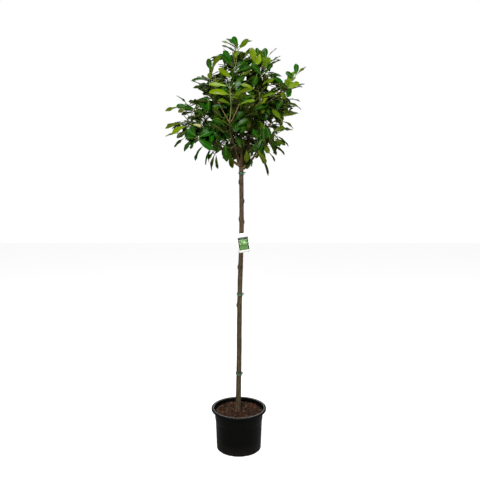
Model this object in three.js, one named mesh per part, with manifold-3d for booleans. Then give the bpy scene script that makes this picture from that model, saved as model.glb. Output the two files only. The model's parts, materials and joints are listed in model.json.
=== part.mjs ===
// A cherry laurel grown as a standard: one clear stem with a round crown of leathery leaves,
// in a black nursery pot of compost. Millimetres, +Z up, the origin under the middle of the pot.
// Seen from the front, that is along +Y, +X is to the right.
import * as THREE from "three";
import { mergeVertices } from "three/addons/utils/BufferGeometryUtils.js";
import Module from "manifold-3d";

const wasm = await Module();
wasm.setup();
const { degToRad, lerp, smoothstep } = THREE.MathUtils;

// Driving dimensions
const GAP = 0.3; // clear space where one piece meets another
const POT_SIDES = 32; // flats round the pot and the compost
const BAND_SIDES = 14; // flats round a tie and the label's loop

const POT = {
  height: 252,
  wall: 2.6,
  floor: 3,
  footRadius: 131,
  footBevel: 5,
  stepHeight: 168, // where the body widens into the collar
  stepRise: 10,
  stepRadius: 136.5,
  collarRadius: 140.5,
  neckRadius: 144,
  rimRadius: 165,
  rimThickness: 3.2,
  rimSkirt: 13, // how far the rim's outer edge turns down
};
const COMPOST = { level: 226, clearTop: 1 }; // it has shrunk a little from the pot at the top

const TRUNK = {
  foot: COMPOST.level + GAP,
  fork: 1723,
  footRadius: 15.2,
  forkRadius: 12,
  flare: 4.5, // what the roots add at the foot
  flareHeight: 26,
  sides: 12,
  steps: 18,
  stepGrowth: 1.5, // above 1, the rings are closest together at the foot
};
const TRUNK_LINE = new THREE.CatmullRomCurve3([
  new THREE.Vector3(-5, 0, TRUNK.foot),
  new THREE.Vector3(1, 3, 510),
  new THREE.Vector3(5, -2, 930),
  new THREE.Vector3(16, 2, 1330),
  new THREE.Vector3(13.5, 0, TRUNK.fork),
]);

// A bough bends at these shares of its way out and of its way up.
const BOUGH = { footRadius: 7.5, tipRadius: 6.2, sides: 7, steps: 6, bendOut: 0.72, bendUp: 0.38 };
// Where each bough leaves the trunk: its height and how far off the middle. Then the way it turns
// (degrees from +X towards +Y), and its tip: how far out from the trunk, and how high.
const BOUGHS = {
  centre: { leaves: 1716, foot: 6, turn: 205, out: 66, height: 1928 },
  right: { leaves: 1716, foot: 6, turn: 352, out: 58, height: 1928 },
  left: { leaves: 1696, foot: 0, turn: 184, out: 105, height: 1794 },
  right_low: { leaves: 1682, foot: 0, turn: 350, out: 88, height: 1778 },
  front: { leaves: 1690, foot: 0, turn: 272, out: 70, height: 1788 },
  back_left: { leaves: 1682, foot: 0, turn: 115, out: 78, height: 1793 },
  back_right: { leaves: 1700, foot: 0, turn: 62, out: 85, height: 1818 },
};

// The masses of foliage: the bough that feeds each, the heart of its space, in the same terms as
// a bough's tip, and the reach of its leaves from that heart.
const MASSES = {
  leader: { bough: "centre", turn: 180, out: 38, height: 2228, reach: 202 },
  crown_right: { bough: "right", turn: 0, out: 102, height: 2190, reach: 192 },
  arm_right: { bough: "right", turn: 354, out: 210, height: 2098, reach: 192 },
  crown_left: { bough: "centre", turn: 184, out: 145, height: 2128, reach: 198 },
  shoulder_left: { bough: "left", turn: 187, out: 242, height: 1938, reach: 212 },
  skirt_left: { bough: "left", turn: 203, out: 194, height: 1838, reach: 185 },
  shoulder_right: { bough: "right_low", turn: 8, out: 153, height: 1943, reach: 202 },
  skirt_right: { bough: "right_low", turn: 307, out: 126, height: 1843, reach: 180 },
  front: { bough: "front", turn: 263, out: 181, height: 2018, reach: 208 },
  skirt_front: { bough: "front", turn: 268, out: 150, height: 1836, reach: 182 },
  back_left: { bough: "back_left", turn: 128, out: 216, height: 2048, reach: 208 },
  back_right: { bough: "back_right", turn: 58, out: 201, height: 2048, reach: 208 },
  skirt_back: { bough: "back_left", turn: 95, out: 160, height: 1843, reach: 190 },
};
const CROWN_MIDDLE = 1890; // the height that the masses grow away from
const CROWN_SKIRT = 1790; // foliage droops most at this height
const CROWN_TOP = 2320; // and lifts most at this one

// The rule of growth: a stem runs from its bough through the heart, twigs leave it in a spiral,
// and leaves stand in a spiral on the stem's end and on the twigs.
const SEED = 78; // the first mass's, and each mass after it takes the next
const SPIRAL = 137.5; // degrees from one twig or leaf to the next
const TRIES = [0, 50, -50, 100, -100, 150]; // degrees that a twig or leaf is turned on, till it fits
// A stem runs past the heart by this share of the reach. Its first bend lies along the bough and its
// second on the line out through the heart, at these shares of its length.
const STEM = { radius: 2.9, tipRadius: 2.3, sides: 3, steps: 5, past: 0.38, lead: 0.3, aim: 0.12 };
// A twig's length is a share of the reach, and varies by these shares.
const TWIG = { count: 6, radius: 2.6, tipRadius: 2.2, sides: 3, steps: 2, length: 0.5, low: 0.8, high: 1.15 };
const TWIG_PLACES = { first: 0.42, last: 0.92 }; // along the stem
const TWIG_SPREAD = { first: 72, last: 34, from: 0.8 }; // degrees from the stem's way at this place along it
const TWIG_RISE = { skirt: -0.1, top: 0.45 }; // how much its outer half turns up
const BARE = { stem: 0.55, twig: 0.24 }; // share of each with no leaves
const LEAF = { length: 130, width: 51, thickness: 2.4, widest: 0.56, arch: 0.1, fold: 0.16, root: 1.6 };
const LEAF_SPACING = 16; // along a stem or a twig
const LEAF_LAST = 0.97; // the last leaf's place along its twig
const LEAF_SPREAD = { old: 82, young: 24, bend: 1.5 }; // degrees from the twig, closing fastest at its tip
const LEAF_SIZE = { low: 0.9, high: 1.1, young: 0.92 }; // shares of the length: by chance, and at the tip
const LEAF_DROOP = { old: 0.75, young: 0.45, lift: 0.12 }; // at the skirt, and the lift of every leaf
const LEAF_TO_SKY = 0.8; // how far a leaf's face turns from its twig's tip to the sky

const TIES = { heights: { low: 465, middle: 952, high: 1660 }, width: 5, thickness: 1.4, knot: 3.2 };
const LABEL = { foot: 1200, length: 113, width: 64, thickness: 1.2, corner: 5, tilt: 9, shift: 20, loop: 11 };

// Materials
const finish = (color, roughness) => new THREE.MeshStandardMaterial({ color, roughness, metalness: 0 });
const FINISH = {
  pot: finish("#161717", 0.5),
  compost: finish("#4a2a18", 0.95),
  bark: finish("#5a4a3a", 0.85),
  bough: finish("#6b5c3f", 0.75),
  leaf: finish("#2f5a1c", 0.4),
  tie: finish("#2f8f6a", 0.5),
  label: finish("#eef0e6", 0.6),
};

// Joining and cutting
// A closed geometry as a solid, with its shared vertices merged.
function solidOf(geometry) {
  const bare = geometry.clone();
  bare.deleteAttribute("normal");
  bare.deleteAttribute("uv");
  const merged = mergeVertices(bare, 1e-3);
  const vertProperties = new Float32Array(merged.getAttribute("position").array);
  const triVerts = new Uint32Array(merged.index.array);
  return new wasm.Manifold(new wasm.Mesh({ numProp: 3, vertProperties, triVerts }));
}

// The largest body of a solid: what a cut leaves loose is dropped, and a sealed hollow is filled.
function mainBody(solid) {
  return solid.decompose().reduce((best, body) => (body.volume() > best.volume() ? body : best));
}

function join(solids) {
  return mainBody(solids.reduce((whole, solid) => whole.add(solid)));
}

// The box round a solid, kept because most solids that are tested lie far apart.
const boxes = new Map();
function boxOf(solid) {
  if (!boxes.has(solid)) {
    const { min, max } = solid.boundingBox();
    boxes.set(solid, new THREE.Box3(new THREE.Vector3(...min), new THREE.Vector3(...max)));
  }
  return boxes.get(solid);
}

function overlaps(solid, other) {
  return boxOf(solid).intersectsBox(boxOf(other)) && solid.intersect(other).volume() > 0;
}

function meshOf(name, solid, material) {
  const { vertProperties, triVerts } = solid.getMesh();
  const geometry = new THREE.BufferGeometry();
  geometry.setAttribute("position", new THREE.BufferAttribute(vertProperties, 3));
  geometry.setIndex(new THREE.BufferAttribute(triVerts, 1));
  geometry.computeVertexNormals();
  const mesh = new THREE.Mesh(geometry, material);
  mesh.name = name;
  return mesh;
}

// Moves every vertex of a geometry to the point that place gives for it.
function reshape(geometry, place) {
  const position = geometry.getAttribute("position");
  const vertex = new THREE.Vector3();
  for (let i = 0; i < position.count; i++) {
    vertex.fromBufferAttribute(position, i);
    position.setXYZ(i, ...place(vertex));
  }
  return geometry;
}

// A solid turned round the Z axis from its half section, given as radius and height.
function turned(section, sides) {
  const profile = section.map(([radius, height]) => new THREE.Vector2(radius, height));
  return solidOf(new THREE.LatheGeometry(profile, sides).rotateX(Math.PI / 2));
}

// A band round the Z axis, with a rectangular section about Z = 0. Its radii are those at its flats.
function ring(inner, outer, width) {
  const corner = 1 / Math.cos(Math.PI / BAND_SIDES);
  const section = [
    [inner * corner, -width / 2],
    [outer * corner, -width / 2],
    [outer * corner, width / 2],
    [inner * corner, width / 2],
    [inner * corner, -width / 2],
  ];
  return turned(section, BAND_SIDES);
}

// A limb: a cylinder bent along a curve, tapering from one radius to another.
function limb(curve, footRadius, tipRadius, { sides, steps }) {
  const { normals, binormals } = curve.computeFrenetFrames(steps);
  const bend = ({ x, y, z }) => {
    const along = y + 0.5;
    const step = Math.round(along * steps);
    const radius = lerp(footRadius, tipRadius, along);
    return curve
      .getPointAt(along)
      .addScaledVector(normals[step], x * radius)
      .addScaledVector(binormals[step], -z * radius);
  };
  return solidOf(reshape(new THREE.CylinderGeometry(1, 1, 1, sides, steps), bend));
}

// Pot and compost
function potSolid() {
  const { height, wall, floor, rimRadius, rimThickness, rimSkirt } = POT;
  const body = [
    [POT.footRadius, POT.footBevel],
    [POT.stepRadius, POT.stepHeight],
    [POT.collarRadius, POT.stepHeight + POT.stepRise],
    [POT.neckRadius, height - rimThickness],
  ];
  const inside = body.slice(1).map(([radius, z]) => [radius - wall, z]);
  const section = [
    [0, 0],
    [POT.footRadius - POT.footBevel, 0],
    ...body,
    [rimRadius - rimThickness, height - rimThickness],
    [rimRadius - rimThickness, height - rimSkirt],
    [rimRadius, height - rimSkirt],
    [rimRadius, height - rimThickness],
    [rimRadius - rimThickness, height],
    [POT.neckRadius, height],
    ...inside.reverse(),
    [POT.footRadius - wall, floor],
    [0, floor],
  ];
  return turned(section, POT_SIDES);
}

function compostSolid() {
  const clear = POT.wall + GAP;
  const collarShare = (COMPOST.level - POT.stepHeight) / (POT.height - POT.stepHeight);
  const topRadius = lerp(POT.collarRadius, POT.neckRadius, collarShare) - clear - COMPOST.clearTop;
  const section = [
    [0, POT.floor + GAP],
    [POT.footRadius - clear, POT.floor + GAP],
    [POT.stepRadius - clear, POT.stepHeight],
    [POT.collarRadius - clear, POT.stepHeight + POT.stepRise],
    [topRadius, COMPOST.level],
    [0, COMPOST.level],
  ];
  return turned(section, POT_SIDES);
}

// Trunk
function trunkRadius(height) {
  const share = (height - TRUNK.foot) / (TRUNK.fork - TRUNK.foot);
  const flare = TRUNK.flare * Math.exp(-(height - TRUNK.foot) / TRUNK.flareHeight);
  return lerp(TRUNK.footRadius, TRUNK.forkRadius, share) + flare;
}

// The middles of the trunk's rings.
const trunkRings = Array.from({ length: TRUNK.steps + 1 }, (_, k) =>
  TRUNK_LINE.getPoint((k / TRUNK.steps) ** TRUNK.stepGrowth),
);

// The middle of the trunk at a height.
function trunkCentre(height) {
  const above = Math.max(1, trunkRings.findIndex((middle) => middle.z >= height));
  const [low, high] = [trunkRings[above - 1], trunkRings[above]];
  return low.clone().lerp(high, (height - low.z) / (high.z - low.z));
}

// The trunk, with level rings, so that its foot is flat on the compost. A thicker one, to cut the
// boughs with, is taller by the same amount.
function trunkSolid(extra = 0) {
  const level = ({ x, y, z }) => {
    const step = Math.round((y + 0.5) * TRUNK.steps);
    const centre = trunkRings[step];
    const radius = trunkRadius(centre.z) + extra;
    const raised = step === TRUNK.steps ? extra : 0;
    return [centre.x + x * radius, centre.y - z * radius, centre.z + raised];
  };
  return solidOf(reshape(new THREE.CylinderGeometry(1, 1, 1, TRUNK.sides, TRUNK.steps), level));
}

// Boughs
// A point given by the way it turns from the trunk's line, how far out, and its height.
function aroundTrunk({ turn, out, height }) {
  const { x, y } = trunkCentre(TRUNK.fork);
  return new THREE.Vector3(x + out * Math.cos(degToRad(turn)), y + out * Math.sin(degToRad(turn)), height);
}

// A bough leaves the trunk low and wide, then turns up.
function boughCurve({ leaves, foot, turn, out, height }) {
  const start = trunkCentre(leaves).add(aroundTrunk({ turn, out: foot, height: 0 }));
  start.sub(trunkCentre(TRUNK.fork)).setZ(leaves);
  const bendHeight = lerp(leaves, height, BOUGH.bendUp);
  const bend = aroundTrunk({ turn, out: out * BOUGH.bendOut, height: bendHeight });
  return new THREE.QuadraticBezierCurve3(start, bend, aroundTrunk({ turn, out, height }));
}

// Growth of the masses
// Seeded random numbers from 0 to 1, so that the same crown grows every time.
function dice(seed) {
  let state = seed;
  return () => {
    state = (state + 0x6d2b79f5) >>> 0;
    let mixed = Math.imul(state ^ (state >>> 15), state | 1);
    mixed = (mixed + Math.imul(mixed ^ (mixed >>> 7), mixed | 61)) ^ mixed;
    return ((mixed ^ (mixed >>> 14)) >>> 0) / 2 ** 32;
  };
}

const UP = new THREE.Vector3(0, 0, 1);
const crownMiddle = trunkCentre(TRUNK.fork).setZ(CROWN_MIDDLE);
const hearts = Object.fromEntries(Object.entries(MASSES).map(([name, mass]) => [name, aroundTrunk(mass)]));

// A direction at an angle to an axis, turned round it, both in degrees.
function leaning(axis, angle, turn) {
  const side = new THREE.Vector3(1, 0, 0).cross(axis);
  if (side.length() < 0.3) side.set(0, 1, 0).cross(axis);
  side.normalize();
  const [tilt, roll] = [degToRad(angle), degToRad(turn)];
  return axis
    .clone()
    .multiplyScalar(Math.cos(tilt))
    .addScaledVector(side, Math.sin(tilt) * Math.cos(roll))
    .addScaledVector(axis.clone().cross(side), Math.sin(tilt) * Math.sin(roll));
}

// How much the foliage at a height lifts towards the light, from 0 at the skirt to 1 at the top.
const lift = (height) => smoothstep(height, CROWN_SKIRT, CROWN_TOP);

// The stem of a mass runs from its bough's tip through the heart and on towards the outside. Two
// stems that share a tip start side by side on it, each on the side that it grows to.
function stemCurve(name) {
  const { bough, reach } = MASSES[name];
  const carrier = boughCurve(BOUGHS[bough]);
  const along = carrier.getTangentAt(1);
  const start = carrier.getPointAt(1).addScaledVector(along, GAP);
  const neighbour = Object.keys(MASSES).find((other) => other !== name && MASSES[other].bough === bough);
  if (neighbour) {
    const away = hearts[name].clone().sub(hearts[neighbour]).projectOnPlane(along).normalize();
    start.addScaledVector(away, BOUGH.tipRadius - STEM.radius);
  }
  const outward = hearts[name].clone().sub(crownMiddle).normalize();
  const end = hearts[name].clone().addScaledVector(outward, reach * STEM.past);
  const length = start.distanceTo(end);
  const first = start.clone().addScaledVector(along, length * STEM.lead);
  const second = hearts[name].clone().addScaledVector(outward, -length * STEM.aim);
  return new THREE.CubicBezierCurve3(start, first, second, end);
}

// A twig leaves the stem at an angle, and its outer half turns towards the light. Its place counts
// from 0 for the stem's first twig to 1 for the last.
function twigCurve(stem, place, length, turn) {
  const start = stem.getPointAt(lerp(TWIG_PLACES.first, TWIG_PLACES.last, place));
  const angle = lerp(TWIG_SPREAD.first, TWIG_SPREAD.last, place);
  const way = leaning(stem.getTangentAt(TWIG_SPREAD.from), angle, turn);
  const bend = start.clone().addScaledVector(way, length / 2);
  way.addScaledVector(UP, lerp(TWIG_RISE.skirt, TWIG_RISE.top, lift(start.z))).normalize();
  return new THREE.QuadraticBezierCurve3(start, bend, bend.clone().addScaledVector(way, length / 2));
}

// The faces of a leaf by their corners, seen from outside.
const LEAF_FACES = [
  ["rootTop", "over", "left"],
  ["rootTop", "right", "over"],
  ["over", "tip", "left"],
  ["over", "right", "tip"],
  ["rootFoot", "left", "under"],
  ["rootFoot", "under", "right"],
  ["under", "left", "tip"],
  ["under", "tip", "right"],
  ["rootTop", "left", "rootFoot"],
  ["rootTop", "rootFoot", "right"],
];

// A leaf: a thin blade, widest past its middle, folded up along its rib and arched along its length.
// The middle of its root is at the origin, and it points along +Y.
function leafGeometry(length) {
  const { thickness, root } = LEAF;
  const halfWidth = (LEAF.width * length) / LEAF.length / 2;
  const broad = length * LEAF.widest;
  const rise = length * LEAF.arch;
  const edge = rise + 2 * halfWidth * LEAF.fold;
  const corners = {
    rootTop: [0, 0, root / 2],
    rootFoot: [0, 0, -root / 2],
    left: [-halfWidth, broad, edge],
    right: [halfWidth, broad, edge],
    over: [0, broad, rise + thickness / 2],
    under: [0, broad, rise - thickness / 2],
    tip: [0, length, 0],
  };
  const positions = LEAF_FACES.flat().flatMap((corner) => corners[corner]);
  return new THREE.BufferGeometry().setAttribute("position", new THREE.Float32BufferAttribute(positions, 3));
}

// Where the leaves stand on a curve, from the oldest, which counts as 0, to the one at the tip, 1.
function leafPlaces(curve, bare, random) {
  const count = Math.max(1, Math.round((curve.getLength() * (1 - bare)) / LEAF_SPACING));
  const turn = random() * 360;
  return Array.from({ length: count }, (_, k) => {
    const young = count > 1 ? k / (count - 1) : 1;
    const along = lerp(bare, LEAF_LAST, young);
    const chance = lerp(LEAF_SIZE.low, LEAF_SIZE.high, random());
    return {
      root: curve.getPointAt(along),
      axis: curve.getTangentAt(along),
      spread: lerp(LEAF_SPREAD.old, LEAF_SPREAD.young, young ** LEAF_SPREAD.bend),
      turn: turn + k * SPIRAL,
      droop: lerp(LEAF_DROOP.old, LEAF_DROOP.young, young),
      size: LEAF.length * lerp(1, LEAF_SIZE.young, young) * chance,
    };
  });
}

// A leaf on its place, turned on round its twig, its upper face to the twig's tip and the sky. Its
// root is sunk to the middle of the twig.
function placedLeaf({ root, axis, spread, turn, droop, size }, turnOn) {
  const way = leaning(axis, spread, turn + turnOn);
  way.addScaledVector(UP, LEAF_DROOP.lift - (1 - lift(root.z)) * droop).normalize();
  const side = way.clone().cross(axis.clone().addScaledVector(UP, LEAF_TO_SKY)).normalize();
  const place = new THREE.Matrix4().makeBasis(side, way, side.clone().cross(way));
  return leafGeometry(size).applyMatrix4(place.setPosition(root));
}

// True if every point of a geometry is within the mass's reach.
function inReach(name, geometry) {
  const position = geometry.getAttribute("position");
  const point = new THREE.Vector3();
  for (let i = 0; i < position.count; i++) {
    point.fromBufferAttribute(position, i);
    if (point.distanceTo(hearts[name]) > MASSES[name].reach) return false;
  }
  return true;
}

// One mass: its stem, its twigs and their leaves in one body. A twig or leaf that would pass the
// mass's reach, or cross what is taken or another leaf, is turned on till it fits, or skipped.
function massSolid(name, taken, random) {
  const stem = { curve: stemCurve(name), bare: BARE.stem };
  stem.solid = limb(stem.curve, STEM.radius, STEM.tipRadius, STEM);
  const shoots = [stem];
  const turn = random() * 360;
  for (let k = 0; k < TWIG.count; k++) {
    const length = MASSES[name].reach * TWIG.length * lerp(TWIG.low, TWIG.high, random());
    for (const turnOn of TRIES) {
      const curve = twigCurve(stem.curve, k / (TWIG.count - 1), length, turn + k * SPIRAL + turnOn);
      const points = new THREE.BufferGeometry().setFromPoints(curve.getPoints(TWIG.steps));
      if (!inReach(name, points)) continue;
      const solid = limb(curve, TWIG.radius, TWIG.tipRadius, TWIG);
      if (taken.some((other) => overlaps(solid, other))) continue;
      shoots.push({ curve, solid, bare: BARE.twig });
      break;
    }
  }

  const leaves = [];
  for (const shoot of shoots) {
    const otherShoots = shoots.filter((other) => other !== shoot).map((other) => other.solid);
    for (const place of leafPlaces(shoot.curve, shoot.bare, random)) {
      for (const turnOn of TRIES) {
        const blade = placedLeaf(place, turnOn);
        if (!inReach(name, blade)) continue;
        const leaf = solidOf(blade);
        if ([...taken, ...otherShoots, ...leaves].some((other) => overlaps(leaf, other))) continue;
        leaves.push(leaf);
        break;
      }
    }
  }
  return join([...shoots.map((shoot) => shoot.solid), ...leaves]);
}

// Ties and label
// A band round the trunk, clear of it, with a knot at its side.
function tieSolid(height) {
  const centre = trunkCentre(height);
  const inner = trunkRadius(height) + 2 * GAP;
  const outer = inner + TIES.thickness;
  const knot = new THREE.OctahedronGeometry(TIES.knot, 1).translate(outer + TIES.knot / 2, 0, 0);
  return join([ring(inner, outer, TIES.width), solidOf(knot)]).translate(centre.x, centre.y, height);
}

// A card's outline, standing on the middle of its foot.
function roundedCard({ width, length, corner }) {
  const card = new THREE.Shape();
  const [right, top] = [width / 2 - corner, length - corner];
  card.absarc(right, corner, corner, -Math.PI / 2, 0);
  card.absarc(right, top, corner, 0, Math.PI / 2);
  card.absarc(-right, top, corner, Math.PI / 2, Math.PI);
  card.absarc(-right, corner, corner, Math.PI, 1.5 * Math.PI);
  return card;
}

// A card that hangs in front of the trunk, tilted, on a loop round it.
function labelSolid() {
  const { foot, length, thickness, tilt, shift, loop } = LABEL;
  const loopHeight = foot + length - loop;
  const centre = trunkCentre(loopHeight);
  const frontAt = (height) => trunkCentre(height).y - trunkRadius(height);
  const cardBack = Math.min(frontAt(foot), frontAt(loopHeight)) - 2 * GAP;
  const card = new THREE.ExtrudeGeometry(roundedCard(LABEL), {
    depth: thickness,
    bevelEnabled: false,
    curveSegments: 4,
  });
  card.rotateX(Math.PI / 2).rotateY(-degToRad(tilt)).translate(centre.x + shift, cardBack, foot);
  const inner = trunkRadius(loopHeight) + 2 * GAP;
  const strap = ring(inner, centre.y - cardBack + thickness, loop).translate(centre.x, centre.y, loopHeight);
  return join([solidOf(card), strap]);
}

// The whole plant
function buildPlant() {
  const plant = new THREE.Group();
  plant.name = "potted_cherry_laurel";
  plant.add(meshOf("pot", potSolid(), FINISH.pot));
  plant.add(meshOf("compost", compostSolid(), FINISH.compost));
  plant.add(meshOf("trunk", trunkSolid(), FINISH.bark));

  const trunkClear = trunkSolid(GAP);
  const boughs = Object.entries(BOUGHS).map(([name, bough]) => {
    const whole = limb(boughCurve(bough), BOUGH.footRadius, BOUGH.tipRadius, BOUGH);
    const solid = mainBody(whole.subtract(trunkClear));
    plant.add(meshOf(`bough_${name}`, solid, FINISH.bough));
    return solid;
  });

  const clear = 2 * GAP;
  const names = Object.keys(MASSES);
  const stems = names.map((name) => limb(stemCurve(name), STEM.radius + clear, STEM.tipRadius + clear, STEM));
  const grown = [];
  names.forEach((name, index) => {
    const otherStems = stems.filter((stem, k) => k !== index);
    const taken = [trunkClear, ...boughs, ...otherStems, ...grown];
    const solid = massSolid(name, taken, dice(SEED + index));
    grown.push(solid);
    plant.add(meshOf(`foliage_${name}`, solid, FINISH.leaf));
  });

  for (const [name, height] of Object.entries(TIES.heights)) {
    plant.add(meshOf(`tie_${name}`, tieSolid(height), FINISH.tie));
  }
  plant.add(meshOf("label", labelSolid(), FINISH.label));
  return plant;
}

export default buildPlant();
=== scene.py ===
"""The looks of a potted cherry laurel: bark, a leafy crown, a nursery pot of compost, ties and a label.

Everything is in metres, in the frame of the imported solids: +Z up, the origin under the middle of the pot,
and +X to the right as seen from the front, that is along +Y.
"""

import json
import math

import bmesh
import bpy
import numpy as np
from bpy.props import FloatProperty, FloatVectorProperty, IntProperty, PointerProperty
from mathutils import Euler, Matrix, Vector, noise
from mathutils.bvhtree import BVHTree

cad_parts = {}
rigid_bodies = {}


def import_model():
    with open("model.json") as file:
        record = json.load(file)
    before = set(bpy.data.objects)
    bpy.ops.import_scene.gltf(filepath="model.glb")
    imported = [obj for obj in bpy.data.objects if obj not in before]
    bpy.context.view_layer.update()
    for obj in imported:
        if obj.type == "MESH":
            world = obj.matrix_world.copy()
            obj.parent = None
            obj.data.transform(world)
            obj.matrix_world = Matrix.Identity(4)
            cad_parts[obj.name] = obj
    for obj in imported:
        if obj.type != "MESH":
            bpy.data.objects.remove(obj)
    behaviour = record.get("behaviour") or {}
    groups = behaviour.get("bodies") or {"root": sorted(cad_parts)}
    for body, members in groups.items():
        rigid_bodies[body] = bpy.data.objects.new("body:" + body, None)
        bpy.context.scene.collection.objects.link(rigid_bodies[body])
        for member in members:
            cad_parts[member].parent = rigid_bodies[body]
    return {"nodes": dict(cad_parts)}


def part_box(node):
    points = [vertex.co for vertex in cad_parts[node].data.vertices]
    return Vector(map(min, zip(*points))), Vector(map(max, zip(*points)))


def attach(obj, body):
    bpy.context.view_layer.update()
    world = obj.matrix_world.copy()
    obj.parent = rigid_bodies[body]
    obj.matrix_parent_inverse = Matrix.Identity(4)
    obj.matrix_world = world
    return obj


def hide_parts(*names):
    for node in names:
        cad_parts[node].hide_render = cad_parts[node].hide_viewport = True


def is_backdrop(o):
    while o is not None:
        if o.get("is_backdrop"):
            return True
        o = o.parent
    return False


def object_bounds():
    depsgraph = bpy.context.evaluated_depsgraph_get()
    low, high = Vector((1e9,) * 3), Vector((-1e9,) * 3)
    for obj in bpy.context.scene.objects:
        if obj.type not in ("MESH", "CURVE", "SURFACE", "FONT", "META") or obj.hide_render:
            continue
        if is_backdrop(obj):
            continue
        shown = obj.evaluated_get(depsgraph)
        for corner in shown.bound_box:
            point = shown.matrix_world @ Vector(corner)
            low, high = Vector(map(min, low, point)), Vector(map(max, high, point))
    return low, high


bl_info = {
    "name": "Potted Cherry Laurel",
    "version": (1, 0, 0),
    "blender": (4, 5, 0),
    "location": "View3D > Sidebar > Laurel",
    "description": "Grows a standard cherry laurel in its pot round the packed solids",
    "category": "Add Mesh",
}

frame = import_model()
CAD_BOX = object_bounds()
BODY = "root"
MM = 0.001
UP = np.array([0.0, 0.0, 1.0])
RIGHT = np.array([1.0, 0.0, 0.0])
BACK = np.array([0.0, 1.0, 0.0])

# Limbs
# A bough bends at these shares of its way out and of its way up.
BOUGH = {"foot_radius": 7.5 * MM, "tip_radius": 6.2 * MM, "bend_out": 0.72, "bend_up": 0.38}
# Its mesh: the collar where it leaves the trunk, as a share of its radius and in its length, the share of the
# trunk's relief on its bark, and the shares of its radius that round its last rings.
BOUGH_MESH = {"sides": 18, "rings": 40, "collar": 0.45, "collar_length": 17 * MM, "relief": 0.7}
BOUGH_END = (0.97, 0.86, 0.55)
# Where each bough leaves the trunk: its height and how far off the middle. Then the way it turns (degrees
# from +X towards +Y), and its tip: how far out from the trunk, and how high. All in millimetres.
BOUGHS = {
    name: {"leaves": leaves, "foot": foot, "turn": turn, "out": out, "height": height}
    for name, leaves, foot, turn, out, height in [
        ("centre", 1716, 6, 205, 66, 1928),
        ("right", 1716, 6, 352, 58, 1928),
        ("left", 1696, 0, 184, 105, 1794),
        ("right_low", 1682, 0, 350, 88, 1778),
        ("front", 1690, 0, 272, 70, 1788),
        ("back_left", 1682, 0, 115, 78, 1793),
        ("back_right", 1700, 0, 62, 85, 1818),
    ]
}
# The trunk's mesh: its rings crowd towards its foot, and it stands a little off its solid. The lobes of the
# root flare fade in a height, and the cut at the fork is rounded.
TRUNK = {"sides": 56, "rings": 380, "crowding": 1.15, "skin": 0.7 * MM, "flare": 22 * MM, "lobes": 5,
         "lobe": 3.2 * MM, "lobe_turn": 0.6, "rounding": 0.45, "rounded": 9 * MM}
# Old pruning cuts on the trunk: height in millimetres, and degrees from +X towards +Y.
KNOTS = [(1606, 190), (1497, 340), (1393, 205), (1376, 335), (1111, 185), (883, 200), (1240, 80), (700, 120)]
# Each is a swelling with a scar in it: how far they stand out and in, how wide they are, and the share that
# makes them longer than wide.
KNOT = {"swelling": 7 * MM, "width": 8 * MM, "scar": 3 * MM, "scar_width": 4 * MM, "length": 0.8}
FORK_SHIFT = 3.0  # metres along the pattern from the trunk's bark to the boughs'
# The bark's ridges and cracks: how often they repeat in a metre round a limb and along it, and their shares
# of the relief.
RIDGE = {"round": 90, "along": 14, "share": 0.6}
CRACK = {"round": 210, "along": 34, "share": 0.7, "shift": 7.0}

# Masses of foliage: the bough that feeds each, the heart of its space, in the same terms as a bough's tip,
# the reach of its leaves from that heart, and the sprays that are dealt out in it.
MASSES = {
    name: {"bough": bough, "turn": turn, "out": out, "height": height, "reach": reach, "sprays": sprays}
    for name, bough, turn, out, height, reach, *sprays in [
        ("leader", "centre", 180, 38, 2228, 202, "green", "fresh", "young", "green"),
        ("crown_right", "right", 0, 102, 2190, 192, "young", "fresh", "green", "young"),
        ("arm_right", "right", 354, 210, 2098, 192, "young", "fresh", "young", "young"),
        ("crown_left", "centre", 184, 145, 2128, 198, "fresh", "young", "green"),
        ("shoulder_left", "left", 187, 242, 1938, 212, "green", "fresh", "dark", "green"),
        ("skirt_left", "left", 203, 194, 1838, 185, "green", "green", "dark", "fresh"),
        ("shoulder_right", "right_low", 8, 153, 1943, 202, "fresh", "young", "young", "young"),
        ("skirt_right", "right_low", 307, 126, 1843, 180, "green", "fresh", "young", "fresh"),
        ("front", "front", 263, 181, 2018, 208, "young", "fresh", "green", "dark"),
        ("skirt_front", "front", 268, 150, 1836, 182, "green", "fresh", "green", "dark"),
        ("back_left", "back_left", 128, 216, 2048, 208, "dark", "green", "fresh"),
        ("back_right", "back_right", 58, 201, 2048, 208, "green", "dark", "young", "fresh"),
        ("skirt_back", "back_left", 95, 160, 1843, 190, "dark", "green", "dark"),
    ]
}
CROWN_MIDDLE = 1890 * MM  # the height that the masses grow away from
CROWN_SKIRT = 1790 * MM  # foliage droops most at this height
CROWN_TOP = 2320 * MM  # and lifts most at this one

# The rule of growth: a stem runs from its bough through the heart, twigs leave it in a spiral, finer twigs
# leave those, and leaves stand in a spiral on them all. The bare share of a shoot has no leaves.
SPIRAL = 137.5  # degrees from one twig or leaf to the next
TWIG_END = 0.03  # how far a twig runs on past its last leaf, as a share of its length
TRIES = [0, 40, -40, 80, -80, 120, -120, 160]  # degrees that a twig or leaf is turned on, till it fits
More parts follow.
